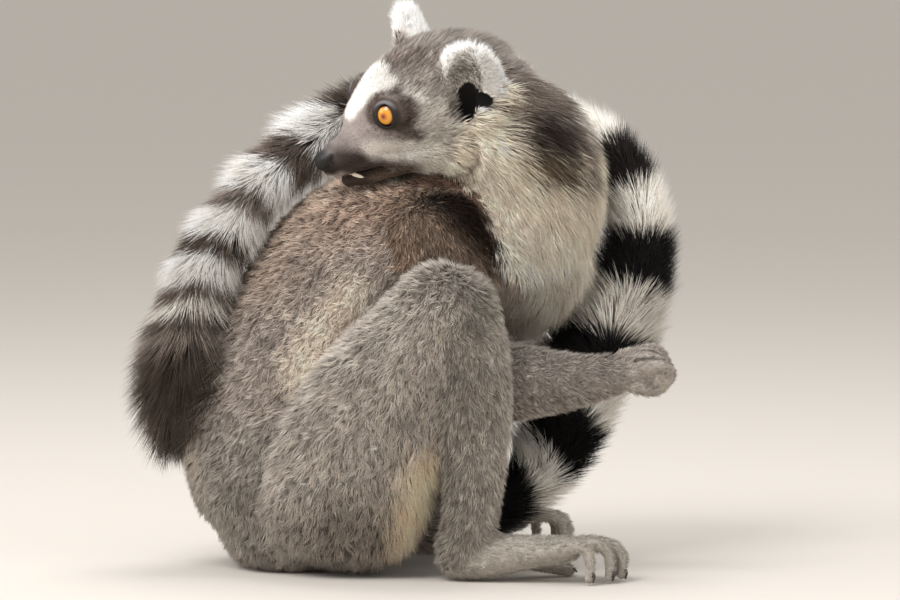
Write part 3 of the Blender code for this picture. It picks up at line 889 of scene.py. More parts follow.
on_the_neck, on_the_tail, on_an_ear = (kind_of == KIND[kind] for kind in ("neck", "tail", "ear"))
on_the_head = np.isin(kind_of, (KIND["head"], KIND["jaw"]))
side_of = np.where(face[:, 1] > 0, 1, -1)
under = fade(above, 8, -12) * fade(behind, 25, 45)
backwards = [np.ones(len(face)), 0.25 * side_of * fade(aside, 0, 10), 0.45 - 1.25 * under]
backwards = np.stack(backwards, 1) @ HEAD_TURN
flow[on_the_head] = backwards[on_the_head]
for side in (1, -1):
    root, across, rise, out = (np.array(v) for v in ear_axes(side))
    local = in_ear(points, side)
    here = on_an_ear & (side_of == side)
    lean = local[:, :1] * across * 0.09 + rise + np.where(local[:, 2:] > 0, 0.25, -0.1) * out
    flow[here] = lean[here]
long_hair = soft_capsule(points, *PEACH, 15, 12)[:, 0] * (kind_of == KIND["thigh"])
flow += long_hair[:, None] * (0.6, -0.3, -1.2)
inner = ((points - path_centre[near]) * (0.75, 0, -0.66)).sum(1) / path_radius[near]
fuller = np.clip(inner * 2 + 0.1, 0, 1)
fuller *= fade(along_of, OVER_BACK, OVER_BACK + 25) * fade(along_of, TAIL_END, TAIL_END - 25)
flow += (fuller * on_the_tail)[:, None] * (0.55, 0, -0.6)
for start, end, push in TAIL_MEETS_BODY:
    weight = soft_capsule(points, start, end, 15, 9)[:, 0]
    fuller = np.maximum(fuller, 1.4 * weight)
    flow += (weight * on_the_tail)[:, None] * push
fuller *= on_the_tail  # the tail's hair stands out here and meets the body
flow[:, 2] += np.interp(points[:, 2], [155, 190, 215], [-0.6, 0.15, 0.5]) * on_the_neck
chest = (kind_of == KIND["trunk"]) * fade(points[:, 0], 32, 54) * fade(points[:, 2], 100, 125)
flow += chest[:, None] * (0.4, 0, -1.6)
by_the_face = (on_the_neck * fade(behind, 84, 54))[:, None]
flow = unit(flow) * (1 - by_the_face) + unit(backwards) * by_the_face
flow -= normals * (flow * normals).sum(1, keepdims=True)
flow = averaged(unit(flow), COAT_ROUNDS)
flow = unit(flow - normals * (flow * normals).sum(1, keepdims=True))
print("mean turn between flow and path:", round(float((flow * tangent_of).sum(1).mean()), 2))

# %% [markdown]
# ## Length, width and lift from place to place
# Each kind's values come from the coat's table. On the face the coat is finest: none on the nose
# and lids, a velvet of a millimetre or two on the muzzle, and longer towards the crown, cheeks and
# nape.

# %% The coat's values at each point of the skin
RING_SHIFT = 9  # a hair of the tail shows this much nearer the tip than its root
THIN_RINGS = np.array([486, 518, 545, 568])  # the dark rings near the tip, where the tail is slimmer
settings = np.array(list(COAT.values()))[kind_of]
on_face = np.interp(behind, [4, 9, 20, 30, 45, 60, 85], [0, 1.0, 1.5, 2.6, 4.6, 6.0, 9.0])
on_face += 3.0 * fade(behind, 42, 56) * fade(above, 10, -2)
centre, gaze, across, rise = (np.array(v) for v in gaze_axes(1))
folded = np.stack([behind, aside, above], 1)  # both sides of the head as the left one
from_eye = nose + HEAD_SCALE * folded @ HEAD_TURN - centre
along_gaze = from_eye @ gaze
off_gaze = np.linalg.norm(from_eye - along_gaze[:, None] * gaze, axis=1)
lids = on_the_head & (off_gaze < 8.4) & (along_gaze > 0)
on_face = np.where(lids, np.clip((off_gaze - 7.2) * 0.8, 0, 1.0), on_face)
settings[on_the_head, LENGTH] = on_face[on_the_head]
for column, lengths, values in (
    (WIDTH, [0, 1.5, 4, 8], [0.3, 0.34, 0.46, 0.6]),
    (DENSITY, [0.3, 0.5, 2.5, 5, 9], [0, 4.6, 3.9, 2.8, 1.7]),
    (LIFT, [0, 2, 5], [12, 20, 27]),
):
    settings[on_the_head, column] = np.interp(on_face, lengths, values)[on_the_head]
settings[:, LENGTH] *= 1 - 0.5 * by_the_face[:, 0]
settings[:, LENGTH] += 12 * long_hair + 8 * chest
settings[:, WIDTH] -= 0.08 * chest
settings[:, LIFT] -= 4 * long_hair + 10 * chest
settings[:, STRAY] -= 0.3 * (long_hair + chest)
off_rings = np.abs(along_of[:, None] + RING_SHIFT - THIN_RINGS).min(1)
puff = np.where(along_of > 450, 0.6 + 0.55 * fade(off_rings, 0, 11), 1)
along_the_tail = puff * np.interp(along_of, [40, 90, 580, 600], [0.6, 1, 1, 1.25])
settings[on_the_tail, LENGTH] *= along_the_tail[on_the_tail]
settings[on_the_tail, LIFT] *= puff[on_the_tail]
fingers = (kind_of == KIND["hand"]) & (along_of > 11)
settings[fingers, LENGTH:DENSITY] *= (0.75, 0.9, 0.9)
settings[:, LENGTH] += 7 * fuller
settings[:, LIFT] += 10 * fuller
in_canal = np.zeros(len(points), bool)
for side in (1, -1):
    here = on_an_ear & (side_of == side)
    settings[here, LENGTH] += 3.5 * fade(in_ear(points[here], side)[:, 1], 24, 34)
    for hollow in (EAR_CANAL, EAR_NOTCH):
        in_canal |= in_hollow(points, side, hollow, 0.5) & (side_of == side)
fine_parts = (on_the_head | on_an_ear)[:, None]
settings = np.where(fine_parts, averaged(settings, FACE_ROUNDS), averaged(settings, COAT_ROUNDS))
settings[in_canal, DENSITY] = 0
length_at, width_at, lift_at, density_at, gather_at, stray_at = settings[:, LENGTH:].T
print("shortest and longest hair, mm:", length_at.min().round(2), length_at.max().round(2))

# %% Room over the skin, so that no tuft grows through a neighbouring part
tree = BVHTree.FromPolygons([Vector(p) for p in points], [tuple(t) for t in triangles.tolist()])
FAR = 40.0  # in mm: more room than this makes no difference
room = np.full(len(points), FAR)
for i in range(len(points)):
    direction = Vector(normals[i])
    start = Vector(points[i]) + direction * 0.6
    reach = tree.ray_cast(start, direction, FAR)[3]
    if reach is not None:
        room[i] = reach
room = np.minimum(room, averaged(room, 2)[:, 0])
height = length_at * np.sin(np.radians(lift_at)) + 0.01
crowd = np.clip(room * 0.8 / height, 0, 1)
length_at = length_at * crowd
sparser = np.interp(room, [1.5, 1.51, 15, 25], [0, 0.6, 0.6, 1])
density_at = density_at * sparser * np.clip(0.25 + crowd, 0, 1)
print("points with a full coat:", int((crowd > 0.99).sum()))

# %% [markdown]
# ## The markings
# A ring-tailed lemur has a grey-brown back, paler grey limbs, a white throat and belly, a white face
# with dark patches round the eyes, a dark muzzle, a grey crown and about fourteen pairs of black and
# white rings on the tail. Each marking here is a soft capsule, laid over the ones before it, in the
# body's axes or the head's. Skin and hair both ask the same function, so they always carry the same
# markings.
# A few marks are painted shade: under the chin and the cheek, where the tail lies on the back, and
# between the fingers. Some of the tail's whites are painted lighter where it hangs in the light, and one
# ring is painted greyer for shade.

# %% The ground colour of each kind of coat
GROUND = {
    "trunk": "#c9bcb2", "thigh": "#cec4ba", "shin": "#aea69c", "upper_arm": "#a48e7c",
    "forearm": "#b2a89f", "foot": "#bdb5aa", "hand": "#b9afa5", "neck": "#eee3d1", "tail": "#d8d0c6",
    "head": "#b6aca3", "jaw": "#d9cdbd", "ear": "#fbf6f0",
}

# %% Markings of the body: from, to, radius, softness in mm, colour
# the dark shoulder below the chin: partly the darker fur there, partly painted shadow cast by the chin
# and jaw
SHOULDER_FUR_AND_CHIN_SHADOW = "#241509"
BODY_MARKS = [
    ("trunk", (-20, 0, 205), (60, 0, 200), 50, 30, "#b69783"),
    ("trunk", (-60, 0, 150), (-30, 0, 190), 34, 30, "#cbb4a3"),
    ("trunk", (-80, -45, 40), (-80, 45, 40), 40, 30, "#bab2a9"),
    ("trunk", (-52, -50, 105), (-30, -50, 140), 12, 12, "#faebda"),
    ("trunk", (-106, -16, 64), (-84, -16, 20), 8, 12, "#eee3d5"),
    ("trunk", (70, 0, 70), (95, 0, 160), 42, 22, "#f2e9db"),
    ("trunk", (40, 0, 30), (50, 0, 90), 30, 16, "#e4dbce"),
    ("trunk", (14, -44, 195), (46, -44, 166), 13, 12, SHOULDER_FUR_AND_CHIN_SHADOW),
    ("upper_arm", (14, -44, 195), (46, -44, 166), 13, 12, SHOULDER_FUR_AND_CHIN_SHADOW),
    ("upper_arm", (10, 40, 200), (30, 44, 172), 22, 20, "#8a7564"),
    ("neck", (16, -38, 192), (40, -44, 164), 9, 7, SHOULDER_FUR_AND_CHIN_SHADOW),
    ("neck", (25, 30, 180), (40, 25, 230), 30, 16, "#a0958b"),
    # painted shade: the top of the white throat is greyed where the cheek shades it
    ("neck", (42, -44, 184), (70, -46, 186), 10, 12, "#d3c5b4"),
    ("neck", (50, -45, 160), (80, -40, 150), 20, 20, "#f8f0e2"),
    ("neck", (48, -32, 246), (80, -24, 230), 17, 9, "#8a7f77"),
    ("neck", (47, -44, 238), (54, -42, 246), 8, 6, "#85776b"),
    ("neck", (54, -39, 225), (69, -37, 220), 10, 8, "#50453f"),
    ("neck", (58, -36, 231), (62, -37, 221), 3, 4, "#1d1511"),
    ("neck", (67, -34, 229), (70, -35, 220), 2.8, 4, "#1d1511"),
    ("neck", (80, -29, 218), (86, -26, 206), 6, 5, "#7d736b"),
    ("neck", (56, -41, 212), (72, -37, 207), 5, 5, "#5a4a31"),
    ("neck", (59, -39, 205), (82, -30, 201), 3.2, 4, "#42362f"),
    ("neck", (74, -20, 239), (84, -21, 225), 5, 4, "#f3ece2"),
    ("neck", (50, -46, 208), (58, -46, 206), 5, 7, "#a5977f"),
    # painted shadow: dark brown where the tail lies against the back, under the head
    ("tail", (-46, -14, 197), (-76, -18, 160), 9, 8, "#4b3c33"),
    ("tail", (-138, -14, 112), (-132, -14, 72), 8, 7, "#80756d"),
    ("thigh", (-34, -60, 18), (10, -60, 22), 26, 22, "#a59b90"),
    ("thigh", *PEACH, 14, 9, "#ffe6c8"),
    ("thigh", (-14, -80, 120), (4, -84, 148), 10, 8, "#ccc3b9"),
    ("thigh", (6, -82, 152), (22, -84, 142), 12, 10, "#b3a99f"),
    ("thigh", (30, 0, 60), (30, 0, 130), 40, 12, "#dfd6ca"),
    ("shin", (44, -76, 130), (44, -70, 30), 12, 9, "#c6beb4"),
    ("hand", (98, -58, 102), (106, -58, 104), 10, 10, "#beb3a9"),
]

# %% Markings of the head: behind the nose, aside and up
HEAD_MARKS = [
    ((44, 3, 37), (52, 10, 38), 7, 6, "#958980"),
    ((50, 30, -6), (62, 32, 8), 17, 9, "#dcd4c8"),
    ((40, 10, -22), (60, 14, -26), 14, 8, "#efe6da"),
    ((20, 0, 8), (26, 10, 8), 12, 5, "#a89d98"),
    ((24, 12, 1), (40, 20, -1), 5.6, 5, "#e9e1d9"),
    ((33, 4, 30), (34, 16, 28), 6, 2.5, "#fbf6ef"),
    ((26, 2, 25), (33, 3, 31), 7.4, 2.5, "#fdf8f1"),
    ((21, 1, 18), (26, 2, 24), 4.8, 2.4, "#fbf6ef"),
    ((36, 18, 28), (43, 25, 20), 4.2, 3.5, "#fbf5ec"),
    ((42, 25, 15), (47, 26, 10), 5, 5, "#ddd4ca"),
    ((33, 19, 11), (36, 21, 9.5), 4.5, 4, "#7b6e63"),
    ((29.8, 14.5, 19), (35.3, 19.5, 17), 8.2, 3.4, "#685952"),
    ((34, 15.5, 22), (37, 17, 27.5), 3, 3, "#6f625a"),
    ((33.5, 21, 15), (34.5, 22, 13), 3, 4, "#493a32"),
    ((38, 23, 8), (40, 24, 4), 1.8, 3, "#65574d"),
    ((4, 1, 5), (10, 4, 5), 6.5, 6, "#857b76"),
    ((8, 5, -1.2), (14, 8, -3.2), 6.2, 4.4, "#3f3430"),
    ((14, 8, -5.5), (25, 10, -9), 4.8, 4.4, "#3a2e29"),
    ((25, 10, -9.4), (36, 18, -11.4), 3.4, 5, "#665850"),
    ((12, 0, -15), (24, 5, -16), 7, 3, "#382b24"),
    ((26, 5, -17), (35, 12, -17), 6, 6, "#6f5f50"),
]
# the ear's canal and notch are coloured near black as painted shade deep in the ear; the cup's grey is
# its own hair
EAR_HOLLOW_SHADE, EAR_GREY = "#0c0806", "#b3aaa0"
EAR_SHADES = ((EAR_GREY, 0.2), (EAR_HOLLOW_SHADE, 0.5), (EAR_HOLLOW_SHADE, 0.5))  # and how far past each hollow's wall

# %% Rings of the tail: where each begins, in mm from its root
# the lighter white is the same white fur, painted lighter where the tail hangs down on the left in the
# light
BLACK, WHITE, WHITE_IN_LIGHT = "#070403", "#efe7dc", "#fffaf3"
RINGS = [
    (0, "#9b9087"), (72, WHITE), (79, BLACK), (111, WHITE), (132, BLACK), (160, WHITE), (177, BLACK),
    # painted shade: the white ring from 200 mm is painted greyer
    (200, "#d9d1c6"), (225, BLACK), (252, WHITE), (276, "#1b1310"), (300, WHITE), (328, BLACK),
    (352, WHITE), (378, BLACK), (402, WHITE), (428, BLACK), (438, "#5b4f46"), (454, WHITE_IN_LIGHT),
    (479, "#7b6e65"), (496, WHITE_IN_LIGHT), (513, "#948880"), (524, WHITE_IN_LIGHT), (540, "#665a51"), (550, WHITE_IN_LIGHT),
    (565, "#7d7067"), (573, "#eee7df"), (581, "#6b5f57"), (588, "#a0958c"), (595, "#6e625b"),
    (603, "#544941"),
]

# %% One function gives the colour of any place
WAVES = dice.normal(size=(3, 24, 3))
PHASES = dice.uniform(0, math.tau, (3, 24))


def ripple(places, size, octave):
    """Smooth noise between about -1 and 1, from a few waves of about that size in mm."""
    angles = places @ WAVES[octave].T * (math.tau / size / 1.7) + PHASES[octave]
    return np.sin(angles).sum(1) / 4.5


def ringed(along):
    """The colour of the ring that each place of the tail lies in."""
    starts, shades = zip(*RINGS)
    number = np.clip(np.searchsorted(starts, along) - 1, 0, len(RINGS) - 1)
    return np.array([linear(shade) for shade in shades])[number]


def marked(colour, places, marks):
    """The colours with each mark laid over them in turn."""
    for start, end, radius, softness, shade in marks:
        colour = colour + soft_capsule(places, start, end, radius, softness) * (linear(shade) - colour)
    return colour


def between_fingers(places, wrist, lead, back):
    """How dark each place of a hand is, from 0 to 1, for the shadows between its fingers."""
    across = np.array(fist_place(wrist, lead, back)[1])
    offset = places - np.array(wrist)
    apart = np.abs((offset @ across)[:, None] - FINGER_CLEFTS).min(1)
    on_this_hand = (np.linalg.norm(offset, axis=1) < 40) & (offset @ np.array(lead) > 8)
    return on_this_hand * np.clip(1.5 - apart / 0.9, 0, 1)


def coat_colour(places, kinds, along, wander):
    """Linear colours of places, their markings' edges shifted by wander, in mm."""
    places = places + wander
    colour = np.array([linear(GROUND[kind]) for kind in KIND])[kinds]
    here = kinds == KIND["tail"]
    colour[here] = ringed(along[here] + wander[here, 0] * 0.6)
    for kind, *mark in BODY_MARKS:
        here = kinds == KIND[kind]
        colour[here] = marked(colour[here], places[here], [mark])
    for hand in HANDS:
        here = kinds == KIND["hand"]
        colour[here] *= 1 - 0.7 * between_fingers(places[here], *hand)[:, None]
    here = np.isin(kinds, (KIND["head"], KIND["jaw"]))
    on_left = in_head(places[here])
    on_left[:, 1] = np.abs(on_left[:, 1])
    colour[here] = marked(colour[here], on_left, HEAD_MARKS)
    for side in (1, -1):
        here = np.isin(kinds, (KIND["head"], KIND["ear"]))
        here &= np.sign(in_head(places)[:, 1]) == side
        for hollow, (shade, grow) in zip(EAR_HOLLOWS, EAR_SHADES):
            colour[here & in_hollow(places, side, hollow, grow)] = linear(shade)
    return colour


skin_colour = coat_colour(points, kind_of, along_of + RING_SHIFT, np.zeros_like(points))
# painted shade: the bare canal and notch take the same near black
skin_colour[in_canal] = linear(EAR_HOLLOW_SHADE)
print("mean skin colour:", skin_colour.mean(0).round(3))

# %% [markdown]
# ## The skin's finish
# Bare skin shows on the nose, lips and lids, and as a shadow between the tufts. It is dark and finely
# pebbled, a little moist on the nose. Its colours go into a colour attribute on the mesh, and a second
# attribute says how bare each point is, which sets the shine.
# Some of its colour is painted light and shade: a grey sheen on the nose's top, a pale reflection along
# each upper lid, and black shade in the nostrils, the ear canals and the fold over each eye.

# %% Bare places and the skin's colour
NOSE_BLACK, NOSE_TOP_SHEEN, LIP_BLACK_AND_SHADE, LID_BROWN, LID_REFLECTION = (
    "#171312", "#5d5552", "#100a08", "#241c19", "#6f6b6d")
BARE_MARKS = [
    ((6, 4, -10.0), (20, 12.5, -10.3), 1.5, 1.2, LIP_BLACK_AND_SHADE),
    ((20, 12.5, -10.3), (34, 22, -9.4), 0.8, 1.2, LIP_BLACK_AND_SHADE),
    # painted sheen: the top of the black nose is painted grey for the light it reflects
    ((2, 0, 1.0), (5.2, 0, 1.6), 5.3, 1.8, NOSE_TOP_SHEEN),
    ((2.2, 0, -0.9), (5.8, 0, -3.0), 5.5, 1.8, NOSE_BLACK),
    # painted shade inside each nostril
    ((2.6, 3.7, -1.4), (4.6, 5.2, 2.6), 1.6, 0.8, LIP_BLACK_AND_SHADE),
]
bare = np.zeros(len(points))


def paint(weight, shade):
    """Lays a colour over the skin, as strongly as weight says at each point."""
    skin_colour[:] += weight[:, None] * (linear(shade) - skin_colour)


# darker where the fur is longer: partly the darker skin under a coat, partly painted shade between the
# tufts
skin_colour *= np.where(on_an_ear, 0.92, np.interp(length_at, [0.8, 5], [0.95, 0.5]))[:, None]
for start, end, radius, softness, shade in BARE_MARKS:
    weight = soft_capsule(folded, start, end, radius, softness)[:, 0] * on_the_head
    paint(weight, shade)
    bare = np.maximum(bare, weight)
weight = np.clip((9.2 - off_gaze) / 2.2, 0, 1) * (on_the_head & (along_gaze > 0))
paint(weight, LID_BROWN)
bare = np.maximum(bare, weight * 0.8)
above_eye = np.clip((from_eye @ rise) / off_gaze * 1.6 - 0.5, 0, 1) * weight
# painted reflection: a pale grey arc along the upper lid; painted shade: a black line in the fold above
# it
for shade, reach in ((LID_REFLECTION, 6.9), (LIP_BLACK_AND_SHADE, 8.5)):  # the upper lid and the fold over it
    paint(above_eye * np.clip(1.4 - np.abs(off_gaze - reach) / 0.7, 0, 1), shade)


def give_attributes(mesh, colours, **values):
    """Writes the coat's colour and any plain numbers to each vertex."""
    layer = mesh.color_attributes.new("coat", "FLOAT_COLOR", "POINT")
    rgba = np.ones((len(colours), 4), np.float32)
    rgba[:, :3] = np.clip(colours, 0, 1)
    layer.data.foreach_set("color", rgba.ravel())
    for name, numbers in values.items():
        layer = mesh.attributes.new(name, "FLOAT", "POINT")
        layer.data.foreach_set("value", numbers.astype(np.float32))


give_attributes(mesh, skin_colour, bare=bare)
print("bare points:", int((bare > 0.5).sum()))

# %% Skin: living skin under fur, soft and matt, moist and pebbled where it is bare
def skin_material():
    material, tree, shader = new_material("skin", IOR=1.4)
    place = add(tree, "ShaderNodeTexCoord").outputs["Object"]
    link(shader, Base_Color=mottled_coat(tree, place, 3, 4, 0.75, 1.2))
    bareness = add(tree, "ShaderNodeAttribute", [("attribute_name", "bare")]).outputs["Fac"]
    shine = add(tree, "ShaderNodeMapRange", [("To Min", 0.85), ("To Max", 0.48)], Value=bareness)
    link(shader, Roughness=shine.outputs["Result"])
    pebbles = add(tree, "ShaderNodeTexVoronoi", [("Scale", 1 / (0.7 * MM))], Vector=place)
    height = [("Strength", 0.5), ("Distance", 0.12 * MM)]
    bump = add(tree, "ShaderNodeBump", height, Height=pebbles.outputs["Distance"])
    link(shader, Normal=bump.outputs["Normal"])
    return material


mesh.materials.clear()
mesh.materials.append(skin_material())
FLESH = [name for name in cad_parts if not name.startswith(("eye_", "tooth"))]
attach(skin, "root")
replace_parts(skin, *FLESH)
print("flesh nodes replaced by the skin:", len(FLESH))

# %% [markdown]
# ## Tufts
# One tuft stands for a few dozen hairs. Most are thin three-sided spikes, closed at the root; the long
# hair of the ruff has a bend half way. Tens of thousands of like shapes are quickest made as arrays: the
# corners of all the tufts are worked out at once and joined into one mesh. Neighbouring tufts lean
# towards the tip of a leader, and that gathering makes the coat fall into soft points.

# %% Roots spread evenly over the skin
corners = points[triangles]
sides = corners[:, 1:] - corners[:, :1]
face_area = 0.5 * np.linalg.norm(np.cross(sides[:, 0], sides[:, 1]), axis=1)
face_form = form_of[triangles[:, 0]]
face_middle = corners.mean(1)
face_tufts = face_area * density_at[triangles].mean(1)
form_length = np.array([path_along[path_form == i].max() for i in range(len(ALL_FORMS))])


def roots_on(faces):
    """Roots on those faces, as many as their coat asks for: the face and three weights of each."""
    expected = np.cumsum(face_tufts[faces])
    count = int(expected[-1])
    marks = (np.arange(count) + dice.random(count)) * expected[-1] / count
    chosen = faces[np.clip(np.searchsorted(expected, marks), 0, len(faces) - 1)]
    a, b = np.sqrt(dice.random(count)), dice.random(count)
    return chosen, np.stack([1 - a, a * (1 - b), a * b], 1)


def on_skin(values, chosen, weights):
    picked = values[triangles[chosen]]
    return (picked * weights.reshape(weights.shape + (1,) * (picked.ndim - 2))).sum(1)


def lie_of(chosen, weights):
    """Each tuft's root, its way out of the skin, and the way it lies along the skin."""
    roots = on_skin(points, chosen, weights)
    out = unit(on_skin(normals, chosen, weights))
    along = unit(on_skin(flow, chosen, weights))
    along = unit(along - out * (along * out).sum(1, keepdims=True))
    turn = dice.normal(0, 1, len(roots)) + 0.8 * ripple(roots, 9, 1)
    turn = (turn * on_skin(stray_at, chosen, weights))[:, None]
    return roots, out, along * np.cos(turn) + np.cross(out, along) * np.sin(turn)


# %% The shape of the tufts
SPIKE = {  # the corners of its faces, where each corner lies on its patch, and how near the tip it is
    "faces": [(0, 2, 1), (0, 1, 3), (1, 2, 3), (2, 0, 3)],
    "patch": [(-1, -1), (1, -1), (0, -1), (0, 1)],
    "shares": [0, 0, 0.15, 1],
    "root_tone": 0.36,
}
BENT_TUFT = {
    "faces": [(0, 2, 1), (0, 1, 4, 3), (1, 2, 5, 4), (2, 0, 3, 5), (3, 4, 6), (4, 5, 6), (5, 3, 6)],
    "patch": [(-1, -1), (1, -1), (0, -1), (-0.6, 0.2), (0.6, 0.2), (0, 0.2), (0, 1)],
    "shares": [0, 0, 0.1, 0.8, 0.8, 0.85, 1],
    "root_tone": 0.7,
}
PATCH = 0.0015  # half the size of a tuft's patch on the unwrap
LEADERS_APART = 9  # tufts to each leader
SUNK = 0.5  # how deep a root goes into the skin, in mm
TUFT_GAP = 0.25  # between the lowest hair and the floor, in mm


def gathered(roots, tips, pull):
    """Draws each tip towards the tip of the nearest leader."""
    leaders = np.flatnonzero(dice.random(len(roots)) < 1 / LEADERS_APART)
    tree = KDTree(len(leaders))
    for number, leader in enumerate(leaders):
        tree.insert(roots[leader], number)
    tree.balance()
    nearest = leaders[[tree.find(root)[1] for root in roots]]
    return tips + pull[:, None] * (tips[nearest] - tips), nearest


def tuft_corners(roots, out, along, length, width, lift, gather, bent):
    """The corners of every tuft, and the leader that each one leans to."""
    steep = np.clip(lift * (1.35 if bent else 1), 0, 1.3)[:, None]
    first = along * np.cos(steep) + out * np.sin(steep)
    late = np.clip(lift * 0.55, 0, 1.3)[:, None]
    second = unit(along * np.cos(late) + out * np.sin(late) + (0, 0, -0.18))
    straight = first * length[:, None] * 0.5
    middle = roots + straight
    tips = middle + (second if bent else first) * length[:, None] * 0.5
    tips, leader = gathered(roots, tips, gather)
    middle = middle + 0.35 * (tips - (middle + straight))
    side = unit(np.cross(first, out))
    half = side * (width * 0.5)[:, None]
    ring = (-half, half, np.cross(side, first) * (width * 0.42)[:, None])
    corners = [roots - out * SUNK + way for way in ring]
    if bent:
        corners += [middle + way * 0.8 for way in ring]
    places = np.stack([*corners, tips], 1)
    places[..., 2] = np.maximum(places[..., 2], TUFT_GAP - shift[2])
    return places, leader


# %% The colour of the tufts, and their places on the unwrap
CRISP = [KIND[kind] for kind in ("head", "ear", "jaw", "hand")]  # parts with sharp-edged markings


def tuft_colours(roots, lead, leader, length, shown_along, tuft):
    """A colour for each corner: the markings, uneven from tuft to tuft, and dark towards the root."""
    count = len(roots)
    kinds = kind_of[lead]
    wander = dice.normal(0, 1, (count, 3)) * np.where(np.isin(kinds, CRISP), 0.5, 2.2)[:, None]
    colour = coat_colour(roots, kinds, shown_along, wander)
    light = colour @ (0.3, 0.6, 0.1)
    spread = np.interp(light, [0.02, 0.3, 0.8], [0.32, 0.33, 0.07])
    cast = dice.normal(0, 1, count) * 0.7 + dice.normal(0, 1, count)[leader] * 0.7
    parted = np.clip(ripple(roots, 7, 2) - 0.95, 0, 1) * (light < 0.62) * (length > 4)
    colour = colour * np.exp(spread * cast - 0.55 * parted)[:, None]
    colour = colour * (1 + 0.10 * ripple(roots, 14, 0))[:, None]
    # darker towards the root: partly the underfur's own colour, partly painted shade deep in the coat
    dark_root = np.interp(light, [0.05, 0.4, 0.8], [0.35, tuft["root_tone"], 0.95])[:, None]
    bright_tip = np.interp(light, [0.05, 0.4, 0.8], [1.15, 1.32, 1.15])[:, None]
    tones = dark_root + (bright_tip - dark_root) * np.array(tuft["shares"])
    return colour[:, None] * tones[:, :, None]


def unwrapped(lead, local, tuft):
    """A small patch for each tuft: round its form goes across the map, and along the form goes up it."""
    forms, column = np.unique(form_of[lead], return_inverse=True)
    u = (column + 0.03 + 0.94 * (local[:, 1] / math.tau + 0.5)) / len(forms)
    v = 0.02 + 0.96 * np.clip(local[:, 0] / form_length[form_of[lead]] * 0.9 + 0.05, 0, 1)
    return np.stack([u, v], 1)[:, None] + np.array(tuft["patch"]) * PATCH


# %% One coat piece
def mesh_of(name, faces, places, uvs, colours):
    """Joins like tufts into one mesh. faces are the corners of one tuft, and the rest is by tuft."""
    tufts, per_tuft, _ = places.shape
    flat = np.array([corner for face in faces for corner in face])
    corner = (np.arange(tufts)[:, None] * per_tuft + flat).ravel()
    size = np.tile([len(face) for face in faces], tufts)
    mesh = bpy.data.meshes.new(name)
    mesh.vertices.add(tufts * per_tuft)
    mesh.vertices.foreach_set("co", ((places + shift) * MM).astype(np.float32).ravel())
    mesh.loops.add(len(corner))
    mesh.loops.foreach_set("vertex_index", corner.astype(np.int32))
    mesh.polygons.add(len(size))
    mesh.polygons.foreach_set("loop_start", (np.cumsum(size) - size).astype(np.int32))
    mesh.update(calc_edges=True)
    layer = mesh.uv_layers.new(name="OFBake")
    layer.data.foreach_set("uv", uvs.reshape(-1, 2)[corner].astype(np.float32).ravel())
    give_attributes(mesh, colours.reshape(-1, 3))
    mesh.shade_smooth()
    return mesh


def coat_piece(name, faces):
    """Grows the tufts of those faces as one piece."""
    chosen, weights = roots_on(faces)
    lead = triangles[chosen, 0]
    bent = kind_of[lead[0]] == KIND["neck"]
    tuft = BENT_TUFT if bent else SPIKE

    def varied(values, low, high):
        return on_skin(values, chosen, weights) * dice.uniform(low, high, len(chosen))

    roots, out, along = lie_of(chosen, weights)
    length = varied(length_at, 0.7, 1.2)
    width = varied(width_at, 0.75, 1.2)
    lift = np.radians(varied(lift_at, 0.6, 1.35))
    gather = varied(gather_at, 0.5, 1.2)
    places, leader = tuft_corners(roots, out, along, length, width, lift, gather, bent)
    local = offset_in(lead, roots)
    shown_along = local[:, 0] + 0.75 * length * np.cos(lift)  # where the outer half of the tuft lies
    colours = tuft_colours(roots, lead, leader, length, shown_along, tuft)
    mesh = mesh_of(name, tuft["faces"], places, unwrapped(lead, local, tuft), colours)
    mesh.materials.append(FUR)
    piece = put_in_scene(name, mesh)
    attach(piece, "root")
    print(f"{name}: {len(roots)} tufts, {triangles_of(piece)} triangles")
    return piece


# %% Fur: soft hair with a faint sheen, its colour carried by the tufts themselves
def fur_material():
    material, tree, shader = new_material(
        "lemur_fur", Roughness=0.62, IOR=1.45, Specular_IOR_Level=0.14, Sheen_Weight=0.05,
        Sheen_Roughness=0.5)
    place = add(tree, "ShaderNodeTexCoord").outputs["Object"]
    link(shader, Base_Color=mottled_coat(tree, place, 1.2, 3, 0.72, 1.28))
    return material


FUR = fur_material()

# %% [markdown]
# ## The coat, piece by piece
# The coat is divided as a furrier would divide a pelt, so that no piece is too heavy to handle.
# Every tuft has a small patch on the piece's unwrap, at its root's place.

# %% Which faces belong to which piece
FORM_NUMBER = {name: i for i, (name, *rest) in enumerate(ALL_FORMS)}


def faces_on(names, test):
    on_those = np.isin(face_form, [FORM_NUMBER[name] for name in names])
    return np.flatnonzero(on_those & test & (face_tufts > 0))


